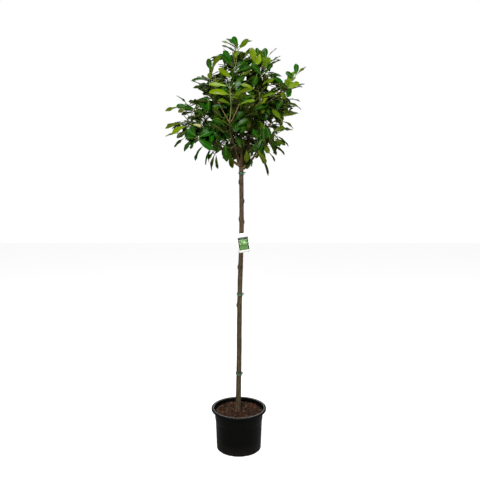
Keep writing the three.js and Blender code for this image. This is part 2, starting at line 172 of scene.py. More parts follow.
# A stem starts inside its bough's tip, aside from one that shares it, both in radii of that tip. It ends past
# the heart by a share of the reach. Its lead along the bough and its aim at the heart are shares of its
# length.
STEM = {"radius": 4.6 * MM, "tip": 2.2 * MM, "sunk": 3, "aside": 0.35, "past": 0.38, "lead": 0.3, "aim": 0.12,
        "bare": 0.5}
TWIG = {"radius": 2.5 * MM, "tip": 1.5 * MM, "length": 0.5, "low": 0.8, "high": 1.15, "bare": 0.2}
TWIG_PLACES = {"first": 0.42, "last": 0.92}  # along the stem
TWIG_SPREAD = {"first": 72, "last": 34, "from": 0.8}  # degrees from the stem's way at this place along it
TWIG_RISE = {"skirt": -0.1, "top": 0.45}  # how much its outer half turns up
FINE = {"radius": 1.8 * MM, "tip": 1.2 * MM, "length": 0.66, "first": 0.3, "last": 0.72, "spread": 54,
        "bare": 0.25}
LEAF_LAST = 0.98  # the last leaf's place along its twig
LEAF_CROWDING = 0.75  # under 1, leaves stand closer together towards the tip
LEAF_SPREAD = {"old": 82, "young": 26, "bend": 1.5}  # degrees from the twig, closing fastest at its tip
LEAF_SIZE = {"low": 0.82, "high": 1.14, "young": 0.88}  # shares of the length: by chance, and at the tip
LEAF_DROOP = {"old": 0.75, "young": 0.45, "lift": 0.12}  # at the skirt, and the lift of every leaf
LEAF_TO_SKY = 1.4  # how far a leaf's face turns from its twig's tip to the sky
LEAF_BEND = {"old": 0.85, "young": 0.4, "chance": 0.35}  # radians that a leaf arches down over its length
LEAF_TWIST = 0.5  # radians from root to tip, one way or the other
LEAF_WAVE = {"least": 0.5, "height": 9, "phase": 6.3}  # of its edges: least share, millimetres and radians
EDGE = {"from": 0.82, "kept": 0.6}  # past this share of a mass's reach, only this share of the leaves grows
TURNING_SHARE = 0.006  # of the leaves are old and yellow
FEWEST = 2  # a shoot that would carry fewer leaves doesn't grow

# A leaf's blade: rows of corners along it and columns across it, with a narrow rib between the middle two.
LEAF_ROWS = (0.0, 0.08, 0.22, 0.41, 0.61, 0.81, 0.95)
LEAF_COLUMNS = (-1.0, -0.55, 0.0, 0.0, 0.55, 1.0)
LEAF_WIDEST = 0.63  # along the blade
LEAF_ROW_SIZE = 2 * len(LEAF_COLUMNS) - 2  # upper corners in all columns, and lower ones in the inner columns
LEAF_TIP = LEAF_ROW_SIZE * len(LEAF_ROWS)  # the corner at the tip
LEAF_FULLNESS = 0.66  # under 1, the outline is blunter than a sine
RIB = 1.2 * MM  # half its width
RIB_COLUMNS = [2, 3]
# Where a blade arches and twists from, along it, the least width of its halves in ribs, how its rib narrows
# and stands out below, how its fold eases off, and the waves of its edges.
BLADE = {"arch_from": 0.35, "twist_from": 0.2, "least": 1.1, "rib_narrowing": 0.75, "rib_depth": 1.6,
         "fold_easing": 0.35, "waves": 11, "wave_shift": 1.3, "wave_rise": 1.5}
STALK = {"length": 9 * MM, "radius": 1.4 * MM, "taper": 0.5, "rings": 5, "sides": 5, "steps": 9}
# A stalk runs towards the middles of these corners, near the rib in the blade's first and third rows.
STALK_CORNERS = [[LEAF_ROW_SIZE * row + corner for corner in (2, 3, 6, 7)] for row in (0, 2)]
UNDERSIDE_FADE = 0.55  # how far a lower face's colour is from the upper one's to the underside's
# The shade tint and the dark sprays, dealt most to the masses at the back, give old leaves a darker green
# that is partly painted shade for the crown's depth.
SPRAYS = {  # the tints in a spray, from its oldest leaves to its tip
    "dark": ("shade", "deep", "deep"),
    "green": ("deep", "emerald", "emerald"),
    "fresh": ("deep", "olive", "fresh"),
    "young": ("olive", "fresh", "young"),
}
TINTS = ("shade", "deep", "emerald", "olive", "fresh", "young", "turning")
# The skin of the twigs among the leaves is a darker green-brown: painted shade for the inside of the crown.
SKINS = {"woody": 14, "green": 14, "red": 14, "leafy": 8}  # of the twigs, with the rings in their tubes
TWIG_SIDES = 7
TWIG_BLUNT = 0.35  # the last ring of a twig, as a share of its tip's radius

# The view: the eye's place, how far it looks down, and the lens, on a sensor 36 mm wide.
EYE = np.array([7, -3460, 1735]) * MM
PITCH = math.radians(7.65)
LENS, SENSOR = 45.0, 36.0
PICTURE = 480  # pixels across and down

# Where the crown is open from front to back, measured at the trunk's depth: across, height, half the width
# and half the height, in millimetres.
OPEN_SKY = [
    # between the tufts at the top
    (-145, 2350, 50, 40), (-236, 2243, 62, 44), (85, 2368, 32, 20), (200, 2325, 26, 34), (290, 2313, 60, 40),
    (250, 2243, 42, 40), (346, 2188, 25, 25),
    (-72, 2362, 20, 7), (-40, 2345, 18, 7), (44, 2356, 9, 9), (-104, 2268, 18, 11), (-122, 2240, 11, 14),
    (240, 2180, 18, 10), (-126, 2215, 12, 9), (198, 2238, 18, 16), (236, 2194, 14, 10),
    # in the left edge
    (-285, 2200, 40, 18), (-310, 2162, 30, 12), (-262, 2152, 26, 12), (-275, 2095, 68, 28),
    (-355, 1973, 56, 22), (-385, 1878, 30, 22), (-360, 1788, 55, 45), (-310, 1810, 22, 22),
    (-205, 2168, 30, 7), (-278, 1794, 14, 16), (-326, 1855, 22, 10), (-290, 1976, 16, 12),
    (-338, 2056, 28, 8), (-383, 1998, 22, 8),
    # in the right edge
    (346, 2106, 45, 30), (345, 2030, 20, 10), (340, 1945, 40, 38), (275, 1930, 22, 16), (301, 1844, 45, 34),
    (338, 1890, 25, 25), (270, 1893, 20, 10), (261, 1755, 45, 40), (297, 2084, 18, 16), (311, 2018, 12, 10),
    (240, 1873, 24, 12), (244, 1799, 16, 14), (274, 1964, 24, 7), (365, 2060, 26, 10),
    # between the hanging leaves
    (-253, 1708, 60, 40), (-232, 1802, 24, 26), (-197, 1775, 11, 24), (-165, 1686, 25, 20),
    (-115, 1715, 20, 50), (-18, 1700, 16, 30), (95, 1703, 35, 45), (176, 1743, 22, 45), (-275, 1757, 36, 14),
    (-66, 1703, 20, 18), (-157, 1745, 11, 20),
    # small gaps in the middle
    (188, 2136, 28, 12), (36, 2180, 7, 8), (160, 1940, 13, 8), (186, 1898, 12, 9), (199, 1948, 10, 7),
    (-176, 2076, 12, 11), (-204, 2020, 6, 9), (-166, 1958, 4, 7),
]

# Shoots and sprays that stand out in the view. A place is across and down in the picture, in pixels, and a
# depth is in millimetres from the trunk's, less than 0 in front of it. A shoot has its mass, its radius in
# millimetres, its skin, its depths at the first and the last of its places, and those places.
SHOOTS_SEEN = [
    ("front", 4.2, "woody", (-105, -258), [(236, 151), (231, 142), (229.6, 131), (229.4, 123)]),
    ("front", 2.3, "red", (-258, -285), [(229, 121.5), (223, 111.5), (216.5, 99)]),
    ("front", 2.9, "green", (-258, -302), [(230.3, 120.5), (232.4, 108), (229.4, 86)]),
    ("front", 2.3, "red", (-258, -285), [(231, 122.5), (234, 117), (238, 107), (240, 103)]),
    ("shoulder_right", 2.9, "woody", (-60, -110), [(249.6, 140), (249.8, 125), (253, 110)]),
    ("crown_right", 2.4, "green", (-90, -110), [(259.2, 106), (259.6, 92)]),
    ("shoulder_right", 2.3, "woody", (-20, -20), [(269, 131), (270, 125), (272.5, 118)]),
    ("arm_right", 2.2, "green", (-40, -40), [(290, 88), (293, 81), (295.6, 75)]),
    ("leader", 2.7, "green", (-40, -40), [(232.8, 88), (234, 72), (238.5, 50)]),
]
# A spray has its mass, its depth, the place where its twig ends, and its leaves. Each leaf has the places of
# its root and tip, the degrees that its face is turned from the viewer, how much nearer its tip is than its
# root in millimetres, the radians that it arches over, and its tint.
# Leaves of the shade tint that stand where the crown lies in shadow carry painted shade.
SPRAYS_SEEN = [
    ("leader", -20, (238.6, 50), [
        (238, 48.5, 233, 36.5, 10, -45, 0.3, "emerald"), (239.5, 48.5, 248.6, 39.2, 15, 40, 0.4, "fresh"),
        (237.5, 46.5, 226, 39, 55, 20, 0.4, "deep"), (238, 49.6, 221.3, 41.3, 61, 0, 0.4, "olive"),
        (236.3, 53, 221.5, 45.6, 60, 0, 0.4, "deep")]),
    ("leader", -60, (233, 70), [
        (232, 66.5, 223.4, 50.5, 10, 0, 0.4, "emerald"), (231.4, 67, 219.2, 54, 35, 30, 0.6, "deep"),
        (229.5, 68.5, 217.5, 64.3, 71, 0, 0.5, "olive"), (231, 71.5, 218.3, 66.3, 63, 0, 0.5, "deep"),
        (231.3, 78.5, 218.3, 68.3, 15, 0, 0.4, "young"), (234, 70.5, 244.7, 61.3, 15, 0, 0.5, "deep"),
        (236, 72.5, 251, 66.3, 30, 0, 0.5, "deep"), (240, 76, 251, 69.5, 20, 0, 0.4, "olive"),
        (234, 80, 231.8, 70, 20, 30, 0.4, "deep"), (236, 58, 236.5, 50.5, 25, -60, 0.3, "fresh"),
        (247, 90, 236.5, 78.5, 25, 0, 0.4, "deep"), (236, 88, 245, 74.5, 30, 0, 0.4, "deep")]),
    ("crown_left", -40, (211.6, 73), [
        (211.4, 71, 208, 58.6, 18, -40, 0.2, "deep"), (211.8, 70.5, 222.5, 54.6, 40, 0, 0.8, "olive"),
        (211, 80, 209.5, 72.8, 8, -45, 0.3, "olive"), (221, 71.2, 212.3, 74.6, 73, 0, 0.2, "shade")]),
    ("crown_left", -30, (211, 83), [
        (210.5, 82.3, 191.3, 81.5, 60, 0, 1.1, "deep"), (210, 81.3, 201.2, 76.2, 67, 40, 0.3, "shade"),
        (210, 87.6, 193, 88.1, 55, 0, 0.5, "shade"), (209, 84.5, 199, 85.4, 55, 40, 0.4, "shade"),
        (209.5, 88.5, 200, 90.4, 53, 40, 0.4, "shade"), (228, 79.5, 216, 79, 55, 0, 0.4, "shade"),
        (209, 99, 208.4, 111.5, 30, 20, 0.3, "emerald"), (211, 95.5, 202.3, 93.6, 40, 0, 0.3, "shade"),
        (211, 98.8, 203, 98.6, 30, 0, 0.3, "deep")]),
    ("front", -290, (229.5, 84), [
        (227.5, 86.6, 208.7, 84.8, 55, 30, 0.3, "young"), (229.8, 95.3, 208.8, 92.6, 35, 45, 0.9, "young"),
        (233, 95.5, 252, 90, 57, 45, 0.5, "olive"), (232, 97.5, 243.2, 95.4, 15, -40, 0.3, "fresh"),
        (230.5, 104, 218.3, 100.4, 59, 50, 0.4, "fresh"), (239.2, 105, 255, 101, 59, 45, 0.5, "fresh"),
        (236, 90, 238.6, 81.3, 8, -60, 0.3, "emerald"), (231, 88, 241.3, 79.4, 71, 30, 0.5, "olive"),
        (228.5, 125, 215.3, 118.2, 71, 0, 0.3, "olive")]),
    ("shoulder_right", -125, (250.5, 117.5), [
        (249, 118, 246, 131.5, 5, 30, 0.4, "olive")]),
    ("front", -230, (240, 120), [
        (233.5, 122, 244.5, 110.3, 30, 0, 0.4, "deep"), (236, 127, 248, 119, 25, 0, 0.5, "deep"),
        (226, 127, 213, 119, 30, 0, 0.5, "deep"), (224, 133, 212.5, 124, 35, 0, 0.4, "shade"),
        (222, 118, 212.5, 109, 30, 20, 0.4, "shade")]),
    ("crown_right", -110, (258.6, 91), [
        (255, 90.5, 240.8, 84.6, 55, 0, 0.6, "young"), (260.5, 98.5, 276, 93.8, 59, 0, 0.4, "fresh"),
        (260.6, 105, 267.6, 98.4, 51, 40, 0.3, "young"), (262, 86, 272, 78.8, 63, 0, 0.5, "olive"),
        (252, 111.5, 268.5, 104.8, 35, 0, 0.5, "deep"), (257, 74, 253, 86.5, 15, 30, 0.4, "deep"),
        (262, 76, 252, 64.5, 25, 0, 0.4, "deep")]),
    ("shoulder_right", -20, (284, 104), [
        (287, 100, 300.4, 102, 69, 0, 0.8, "deep"), (282, 105.5, 301.3, 110.2, 60, 0, 1.5, "olive"),
        (287, 112, 293.3, 108.3, 65, 30, 0.2, "shade"), (284, 108.5, 295, 106.8, 60, 0, 0.4, "deep"),
        (283, 99, 277, 109, 20, 40, 0.4, "deep")]),
    ("shoulder_right", -30, (281, 119.5), [
        (281, 116.5, 296.4, 113.9, 52, 0, 0.3, "olive"), (281, 119.5, 272.2, 109.2, 15, 0, 0.4, "fresh"),
        (281, 121.3, 293.3, 129.3, 64, 0, 0.9, "olive"), (278, 129.3, 293, 130.3, 65, 0, 0.2, "deep"),
        (273.5, 131, 285.2, 127.8, 12, 0, 0.4, "olive")]),
    ("skirt_right", -60, (273, 139.5), [
        (276, 136, 288.6, 147, 66, 0, 0.6, "deep"), (275, 139, 285.4, 145.3, 44, 0, 0.3, "olive"),
        (270.5, 143.5, 280.2, 146.6, 57, 40, 0.4, "deep"), (272.5, 146, 284.4, 155.3, 65, 0, 0.9, "shade"),
        (270.5, 145, 276.1, 155.6, 53, 20, 0.3, "shade"), (264, 144.5, 269, 153.6, 10, 40, 0.3, "olive"),
        (268.5, 152, 274.9, 162, 73, 0, 0.3, "deep")]),
    ("skirt_right", -135, (259, 150), [
        (258, 151, 265.6, 164.5, 30, 0, 0.4, "olive"), (262, 157.5, 268, 176.3, 60, 0, 0.3, "shade"),
        (249.5, 153, 246.6, 169.4, 25, 0, 0.3, "shade"), (246.6, 150, 246, 162.5, 25, 30, 0.3, "olive"),
        (251.5, 157, 251, 166.6, 69, 30, 0.2, "deep"), (258.5, 150.5, 255.5, 158.5, 55, 0, 0.3, "fresh"),
        (253, 147, 250.6, 156.5, 60, 0, 0.3, "deep"), (258, 139.5, 253, 129.3, 12, 30, 0.4, "emerald"),
        (264, 141.5, 262.8, 126.8, 15, 0, 0.5, "deep"), (270, 140.5, 266.4, 127, 25, 0, 0.4, "deep"),
        (262, 140, 253.5, 150.6, 10, 0, 0.4, "deep"), (243.5, 146, 242, 139.5, 55, 0, 0.3, "olive")]),
    ("skirt_left", -90, (210, 148.5), [
        (203.2, 146, 195.4, 161, 62, 0, 0.7, "deep"), (211.5, 149.7, 205.8, 165.2, 62, 0, 0.6, "deep"),
        (215, 150.6, 208.2, 160, 62, 0, 0.3, "olive"), (215.5, 153, 211.8, 171, 62, 0, 0.5, "shade"),
        (220.5, 143.5, 217, 152.5, 40, 0, 0.3, "deep"), (216.3, 155.3, 218.1, 169, 55, 0, 0.2, "shade")]),
    ("skirt_front", -60, (230.5, 151.5), [
        (230.2, 152.5, 232.8, 168.3, 35, 0, 0.3, "olive")]),
    ("skirt_front", -165, (226, 142), [
        (225.5, 142.5, 227, 161.9, 28, 0, 0.3, "deep"), (228.5, 139.5, 221, 131.5, 35, 0, 0.3, "deep"),
        (241, 148, 235.6, 136, 20, 0, 0.4, "deep"), (231, 141, 221.5, 131.5, 25, 0, 0.3, "deep"),
        (226, 141.5, 213.5, 133, 20, 0, 0.4, "deep"), (216, 141.5, 223, 130, 25, 0, 0.4, "shade")]),
    ("skirt_left", -140, (197, 137.5), [
        (196.8, 138.2, 213.8, 149.7, 0, 0, 0.3, "emerald"), (192.8, 139.3, 184.2, 151.6, 40, 0, 0.5, "deep"),
        (195.5, 140, 190.9, 149.2, 56, 30, 0.3, "deep"), (197, 137, 186.5, 129.2, 10, 0, 0.4, "emerald"),
        (196, 137.5, 191.3, 124.3, 15, 0, 0.4, "deep"), (195, 138, 186, 137.4, 25, 30, 0.4, "deep"),
        (198, 137.5, 214.5, 130.3, 15, 0, 0.4, "emerald")]),
    ("shoulder_left", -60, (186.5, 127), [
        (184, 122.7, 165, 129, 54, 0, 0.5, "olive"), (186, 126, 171.8, 134, 32, 0, 0.7, "young"),
        (177, 133.2, 165.3, 136.6, 71, 0, 0.2, "olive"), (186.5, 131, 176.8, 138.2, 22, 20, 0.3, "shade"),
        (184, 138.3, 174.3, 147.3, 59, 0, 0.2, "shade")]),
    ("shoulder_left", -30, (190, 108), [
        (187, 104.5, 176.1, 95.8, 71, 0, 0.5, "shade"), (187.5, 106, 176, 106.5, 8, 0, 0.3, "emerald"),
        (186, 108.5, 178.3, 112.6, 30, 30, 0.3, "olive"), (178, 107.3, 165.2, 111.2, 51, 0, 0.2, "olive"),
        (193.5, 109, 184, 107.5, 20, 30, 0.4, "deep"), (193, 112.5, 181.2, 115.2, 51, 0, 0.6, "shade"),
        (196, 115, 187.3, 119.9, 55, 30, 0.2, "shade"), (196, 116, 191.4, 123, 55, 40, 0.3, "shade"),
        (198.5, 103, 188.3, 102, 40, 20, 0.3, "shade"), (197, 106, 195.4, 98.7, 30, 40, 0.3, "shade"),
        (205, 117, 196, 108.5, 35, 0, 0.4, "deep"), (206, 112, 199.5, 102.5, 30, 0, 0.4, "deep"),
        (206.5, 114, 196.3, 117, 50, 0, 0.3, "shade"), (211, 113, 203, 104.5, 35, 0, 0.4, "deep")]),
    ("shoulder_left", -130, (193, 124), [
        (192.6, 124.6, 201.4, 126.8, 55, 0, 0.3, "turning")]),
    ("crown_right", -60, (260, 67), [
        (255.5, 64.5, 251.6, 47.4, 0, 10, 0.3, "young"), (260, 54, 257.3, 64.8, 8, 40, 0.3, "young"),
        (262, 68, 264, 57, 8, -30, 0.3, "fresh"), (266, 68.5, 266.7, 56.5, 5, 10, 0.3, "fresh"),
        (264.5, 68, 270.2, 58.3, 12, -30, 0.3, "young"), (265.6, 59, 264.7, 48, 10, -40, 0.2, "deep"),
        (257.5, 59, 257.3, 47.8, 25, -40, 0.3, "deep"), (258.5, 61, 261, 50.3, 35, -30, 0.3, "olive"),
        (268, 56.5, 277, 47.9, 77, 0, 0.1, "olive"), (270, 62.5, 281, 55.8, 75, 0, 0.1, "deep"),
        (271, 64.8, 281.3, 59.9, 73, 0, 0.2, "olive"), (264.5, 74.5, 273, 63.7, 45, 0, 0.2, "deep")]),
    ("crown_right", -50, (267, 77), [
        (266, 75.5, 281.8, 76.6, 55, 0, 0.6, "deep"), (271, 76.3, 282.8, 85, 38, 0, 0.8, "emerald"),
        (281, 87, 270.3, 91.2, 59, 0, 0.3, "shade")]),
    ("arm_right", -30, (295, 77), [
        (295.8, 75.5, 296.3, 63.6, 4, -30, 0.2, "emerald"), (297, 74.5, 306.4, 66.8, 61, 0, 0.2, "olive"),
        (293.4, 79, 286, 71.7, 12, -30, 0.3, "deep")]),
    ("arm_right", -50, (289, 88), [
        (289, 88, 285.1, 79.3, 15, 10, 0.3, "fresh"), (289.5, 88, 289.3, 79, 30, 0, 0.3, "young"),
        (287, 88.5, 299.4, 82.6, 15, 0, 0.4, "young"), (293, 87.5, 304.9, 84.2, 67, -20, 0.2, "shade"),
        (290, 88, 286.8, 97.4, 18, 40, 0.3, "emerald"), (291.3, 87.5, 288.2, 96.6, 45, 30, 0.3, "deep"),
        (286.6, 99.6, 280.8, 93.1, 12, 40, 0.3, "young"), (288, 89, 279.6, 83.2, 35, 20, 0.3, "shade")]),
]
# A shoot that stands out tapers to a share of its radius, and its first points are hidden among the leaves.
SHOOT_SEEN = {"taper": 0.75, "hidden": 8}
# A spray's twig sags by a share of its length, most at this share of it. Its leaves' widths, as shares of the
# full width, go by their lengths, and their faces turn up, and out to the side by a share of that.
SPRAY_SEEN = {"sag": 0.12, "sag_at": 0.55, "narrow": 0.55, "wide": 1.12, "outward": 0.5}
# Parts of the limbs that stay in view: shares of the boughs' lengths, and heights of the trunk, with a step.
LIMBS_SEEN = {"left": 0.75, "right": 0.55}
TRUNK_SEEN = (1610 * MM, 1750 * MM, 8 * MM)
# Leaves in front of a leaf, a shoot or a limb that stands out keep this far off its line, as seen.
CLEAR = {"leaf": 20 * MM, "shoot": 17 * MM, "limb": 26 * MM}
IN_FRONT = 5 * MM  # how much nearer than the line a leaf is that counts as in front
NEIGHBOUR = 130 * MM  # leaves whose middles are this close could cross


# Numbers and vectors
def linear(hex_colour):
    """An sRGB hex value as linear red, green and blue."""
    shares = [int(hex_colour[k:k + 2], 16) / 255 for k in (1, 3, 5)]
    return [s / 12.92 if s <= 0.04045 else ((s + 0.055) / 1.055) ** 2.4 for s in shares]


def toned(colour, factor=1.0):
    """A linear colour, lighter or darker by a factor, with full alpha."""
    return [min(part * factor, 1.0) for part in colour[:3]] + [1.0]


def per_metre(millimetres):
    """How many times a pattern of this size repeats in a metre."""
    return 1000 / millimetres


def unit(vector):
    """A vector of length 1 in the same direction."""
    return vector / np.linalg.norm(vector)


def lerp(low, high, share):
    """The value at a share of the way from low to high."""
    return low + (high - low) * share


def smoothstep(value, low, high):
    """A share from 0 at low to 1 at high, level at both ends."""
    share = np.clip((value - low) / (high - low), 0.0, 1.0)
    return share * share * (3 - 2 * share)


def polar(turn, out, height):
    """A point by its degrees from +X towards +Y, its distance from the Z axis, and its height."""
    angle = math.radians(turn)
    return np.array([out * math.cos(angle), out * math.sin(angle), height])


def dice(seed):
    """Seeded random numbers from 0 to 1, the same as in the solids' own rule."""
    state = seed & 0xFFFFFFFF

    def throw():
        nonlocal state
        state = (state + 0x6D2B79F5) & 0xFFFFFFFF
        mixed = ((state ^ (state >> 15)) * (state | 1)) & 0xFFFFFFFF
        mixed ^= (mixed + ((mixed ^ (mixed >> 7)) * (mixed | 61) & 0xFFFFFFFF)) & 0xFFFFFFFF
        return (mixed ^ (mixed >> 14)) / 2**32

    return throw


WAY_STEP = 0.02  # the share of a path, before and after a point, that gives its direction there


class Path:
    """A curve as a fine row of points, measured along its length."""

    def __init__(self, points):
        self.points = np.asarray(points, float)
        steps = np.linalg.norm(np.diff(self.points, axis=0), axis=1)
        self.along = np.concatenate([[0.0], np.cumsum(steps)])
        self.length = self.along[-1]

    def at(self, share):
        """The point at a share of the length."""
        return np.array([np.interp(share * self.length, self.along, column) for column in self.points.T])

    def way(self, share):
        """The direction at a share of the length."""
        return unit(self.at(min(share + WAY_STEP, 1.0)) - self.at(max(share - WAY_STEP, 0.0)))

    def cut(self, share):
        """The path up to this share of its length."""
        return Path([self.at(share * step) for step in np.linspace(0, 1, len(self.points))])


def bezier(*controls, count=33):
    """The Path of a Bezier curve with these control points."""
    shares = np.linspace(0, 1, count)[:, None]
    rows = [np.repeat(np.asarray(control, float)[None], count, axis=0) for control in controls]
    while len(rows) > 1:
        rows = [lerp(near, far, shares) for near, far in zip(rows, rows[1:])]
    return Path(rows[0])


# Meshes from arrays
class Pile:
    """Corners, faces and each face's material slot, gathered for one mesh."""

    def __init__(self):
        self.points, self.faces, self.slots, self.creases = [], [], [], []
        self.count = 0

    def add(self, points, faces, slots=0, creases=()):
        """Adds corners, the faces between them, and one material slot or a slot for each face."""
        slots = [slots] * len(faces) if isinstance(slots, int) else slots
        self.points.append(np.asarray(points, float))
        self.faces += [[corner + self.count for corner in face] for face in faces]
        self.creases += [(near + self.count, far + self.count) for near, far in creases]
        self.slots += slots
        self.count += len(points)

    def build(self, name, materials, slot, replaced=(), smooth=True):
        """One piece of the object, with its materials, on the body."""
        mesh = bpy.data.meshes.new(name)
        mesh.from_pydata(np.concatenate(self.points).tolist(), [], self.faces)
        mesh.polygons.foreach_set("material_index", self.slots)
        mesh.polygons.foreach_set("use_smooth", [smooth] * len(self.faces))
        if self.creases:
            self.crease(mesh)
        for material in materials:
            mesh.materials.append(material)
        mesh.validate()
        piece = bpy.data.objects.new(name, mesh)
        bpy.context.scene.collection.objects.link(piece)
        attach(piece, BODY)
        if replaced:
            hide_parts(*replaced)
        return piece

    def crease(self, mesh):
        """Keeps the shading of two faces apart along the creases."""
        ends = np.zeros(len(mesh.edges) * 2, np.int64)
        mesh.edges.foreach_get("vertices", ends)
        ends = np.sort(ends.reshape(-1, 2), axis=1)
        wanted = np.sort(np.array(self.creases), axis=1)
        sharp = np.isin(ends @ [self.count, 1], wanted @ [self.count, 1])
        mesh.attributes.new("sharp_edge", "BOOLEAN", "EDGE").data.foreach_set("value", sharp)


def ring_faces(rings, sides):
    """The faces of a closed tube of rings, the first ring's end and the last's included."""
    faces = []
    for row in range(rings - 1):
        near, far = row * sides, (row + 1) * sides
        for k in range(sides):
            following = (k + 1) % sides
            faces.append([near + k, near + following, far + following, far + k])
    faces.append(list(reversed(range(sides))))
    faces.append([(rings - 1) * sides + k for k in range(sides)])
    return faces


STEEP = 0.9  # a tube that starts this nearly upright takes its first side from +X


def tube(path, radii, sides, relief=None):
    """Corners and faces of a closed limb along a Path. Relief gives what each corner stands out by, from
    the share along the limb and the angle round it."""
    shares = np.linspace(0, 1, len(radii))
    way = path.way(0.0)
    side = unit(np.cross(way, UP if abs(way[2]) < STEEP else RIGHT))
    points = []
    for share, radius in zip(shares, radii):
        way = path.way(share)
        side = unit(side - way * np.dot(side, way))
        other = np.cross(way, side)
        for k in range(sides):
            angle = math.tau * k / sides
            out = radius + (relief(share, angle) if relief else 0.0)
            points.append(path.at(share) + out * (math.cos(angle) * side + math.sin(angle) * other))
    return points, ring_faces(len(radii), sides)


def turned(profile, sides, place=None):
    """Corners and faces of a closed solid turned round the Z axis. The profile's radius and height pairs go
    round the section, outside first, and place may move a corner by its radius, angle and height."""
    points = []
    for k in range(sides):
        angle = math.tau * k / sides
        for radius, height in profile:
            if place:
                radius, height = place(radius, angle, height)
            points.append((radius * math.cos(angle), radius * math.sin(angle), height))
    rows = len(profile)
    faces = []
    for k in range(sides):
        near, far = k * rows, ((k + 1) % sides) * rows
        for row in range(rows):
            following = (row + 1) % rows
            faces.append([near + row, far + row, far + following, near + following])
    return points, faces


def arc(middle, radius, start, end, count):
    """Points on an arc of the section, from one angle in degrees to another."""
    angles = np.radians(np.linspace(start, end, count))
    return [(middle[0] + radius * math.cos(a), middle[1] + radius * math.sin(a)) for a in angles]


# Materials
def add_node(tree, kind, inputs=None, **settings):
    """Adds a node with its settings, and sets each input to a value or links it to a socket."""
    made = tree.nodes.new(kind)
    for name, value in settings.items():
        setattr(made, name, value)
    for name, value in (inputs or {}).items():
        if isinstance(value, bpy.types.NodeSocket):
            tree.links.new(value, made.inputs[name])
        else:
            made.inputs[name].default_value = value
    return made


# The sockets of a colour Mix node, which has several of each name.
FACTOR, FIRST, SECOND, MIXED = 0, 6, 7, 2


def new_material(name):
    """An empty material, its node tree, and the texture place of the object, in metres."""
    material = bpy.data.materials.new(name)
    material.use_nodes = True
    tree = material.node_tree
    tree.nodes.clear()
    return material, tree, add_node(tree, "ShaderNodeTexCoord").outputs["Object"]


def mottled(tree, place, grain, low, high, **inputs):
    """A colour that drifts between two tones, in patches of a size in millimetres, and the patches alone."""
    patches = add_node(tree, "ShaderNodeTexNoise", {"Vector": place, "Scale": per_metre(grain), **inputs})
    tint = add_node(tree, "ShaderNodeMix", {FACTOR: patches.outputs["Fac"], FIRST: low, SECOND: high},
                    data_type="RGBA")
    return tint.outputs[MIXED], patches.outputs["Fac"]


def show(tree, inputs):
    """Ends a material in its shader, with these inputs."""
    shader = add_node(tree, "ShaderNodeBsdfPrincipled", inputs)
    add_node(tree, "ShaderNodeOutputMaterial", {"Surface": shader.outputs["BSDF"]})


def leaf_upper(name, colour):
    """Cherry laurel leaf, upper face, grown with a waxed cuticle: a saturated green under an even soft
    gloss, with faint quilting between the veins."""
    material, tree, place = new_material(name)
    tint, blotch = mottled(tree, place, 38, toned(colour, 0.7), toned(colour, 1.35), Detail=2.0)
    gloss = add_node(tree, "ShaderNodeMapRange", {"Value": blotch, "To Min": 0.17, "To Max": 0.32})
    quilt = add_node(tree, "ShaderNodeTexNoise", {"Vector": place, "Scale": per_metre(7), "Detail": 1.0})
    bump = add_node(tree, "ShaderNodeBump", {
        "Height": quilt.outputs["Fac"], "Strength": 0.35, "Distance": 0.6 * MM})
    show(tree, {"Base Color": tint, "Roughness": gloss.outputs["Result"], "IOR": 1.42,
                "Specular IOR Level": 0.05, "Normal": bump.outputs["Normal"]})
    return material


def leaf_lower(name, colour):
    """Cherry laurel leaf, lower face, without the wax: paler and dull, with a fine net of veins. The net is
    drawn coarser than life, or it wouldn't show."""
    material, tree, place = new_material(name)
    net = add_node(tree, "ShaderNodeTexVoronoi", {"Vector": place, "Scale": per_metre(6)},
                   feature="DISTANCE_TO_EDGE")
    veins = add_node(tree, "ShaderNodeMapRange", {"Value": net.outputs["Distance"], "From Max": 0.25})
    tint = add_node(tree, "ShaderNodeMix", {FACTOR: veins.outputs["Result"], FIRST: toned(colour, 1.15),
                                            SECOND: toned(colour, 0.85)}, data_type="RGBA")
    show(tree, {"Base Color": tint.outputs[MIXED], "Roughness": 0.62, "IOR": 1.4, "Specular IOR Level": 0.3})
    return material


def plant_fibre(name, colour, grain, roughness):
    """Green plant tissue, such as a rib, a stalk or a young shoot: smooth and slightly waxy, with its colour
    drawn out in streaks along Z."""
    material, tree, place = new_material(name)
    drawn = add_node(tree, "ShaderNodeMapping", {"Vector": place, "Scale": (1.0, 1.0, 0.3)})
    streaks = drawn.outputs["Vector"]
    tint, _ = mottled(tree, streaks, grain, toned(colour, 0.7), toned(colour, 1.3), Detail=3.0)
    show(tree, {"Base Color": tint, "Roughness": roughness, "IOR": 1.42, "Specular IOR Level": 0.3})
    return material


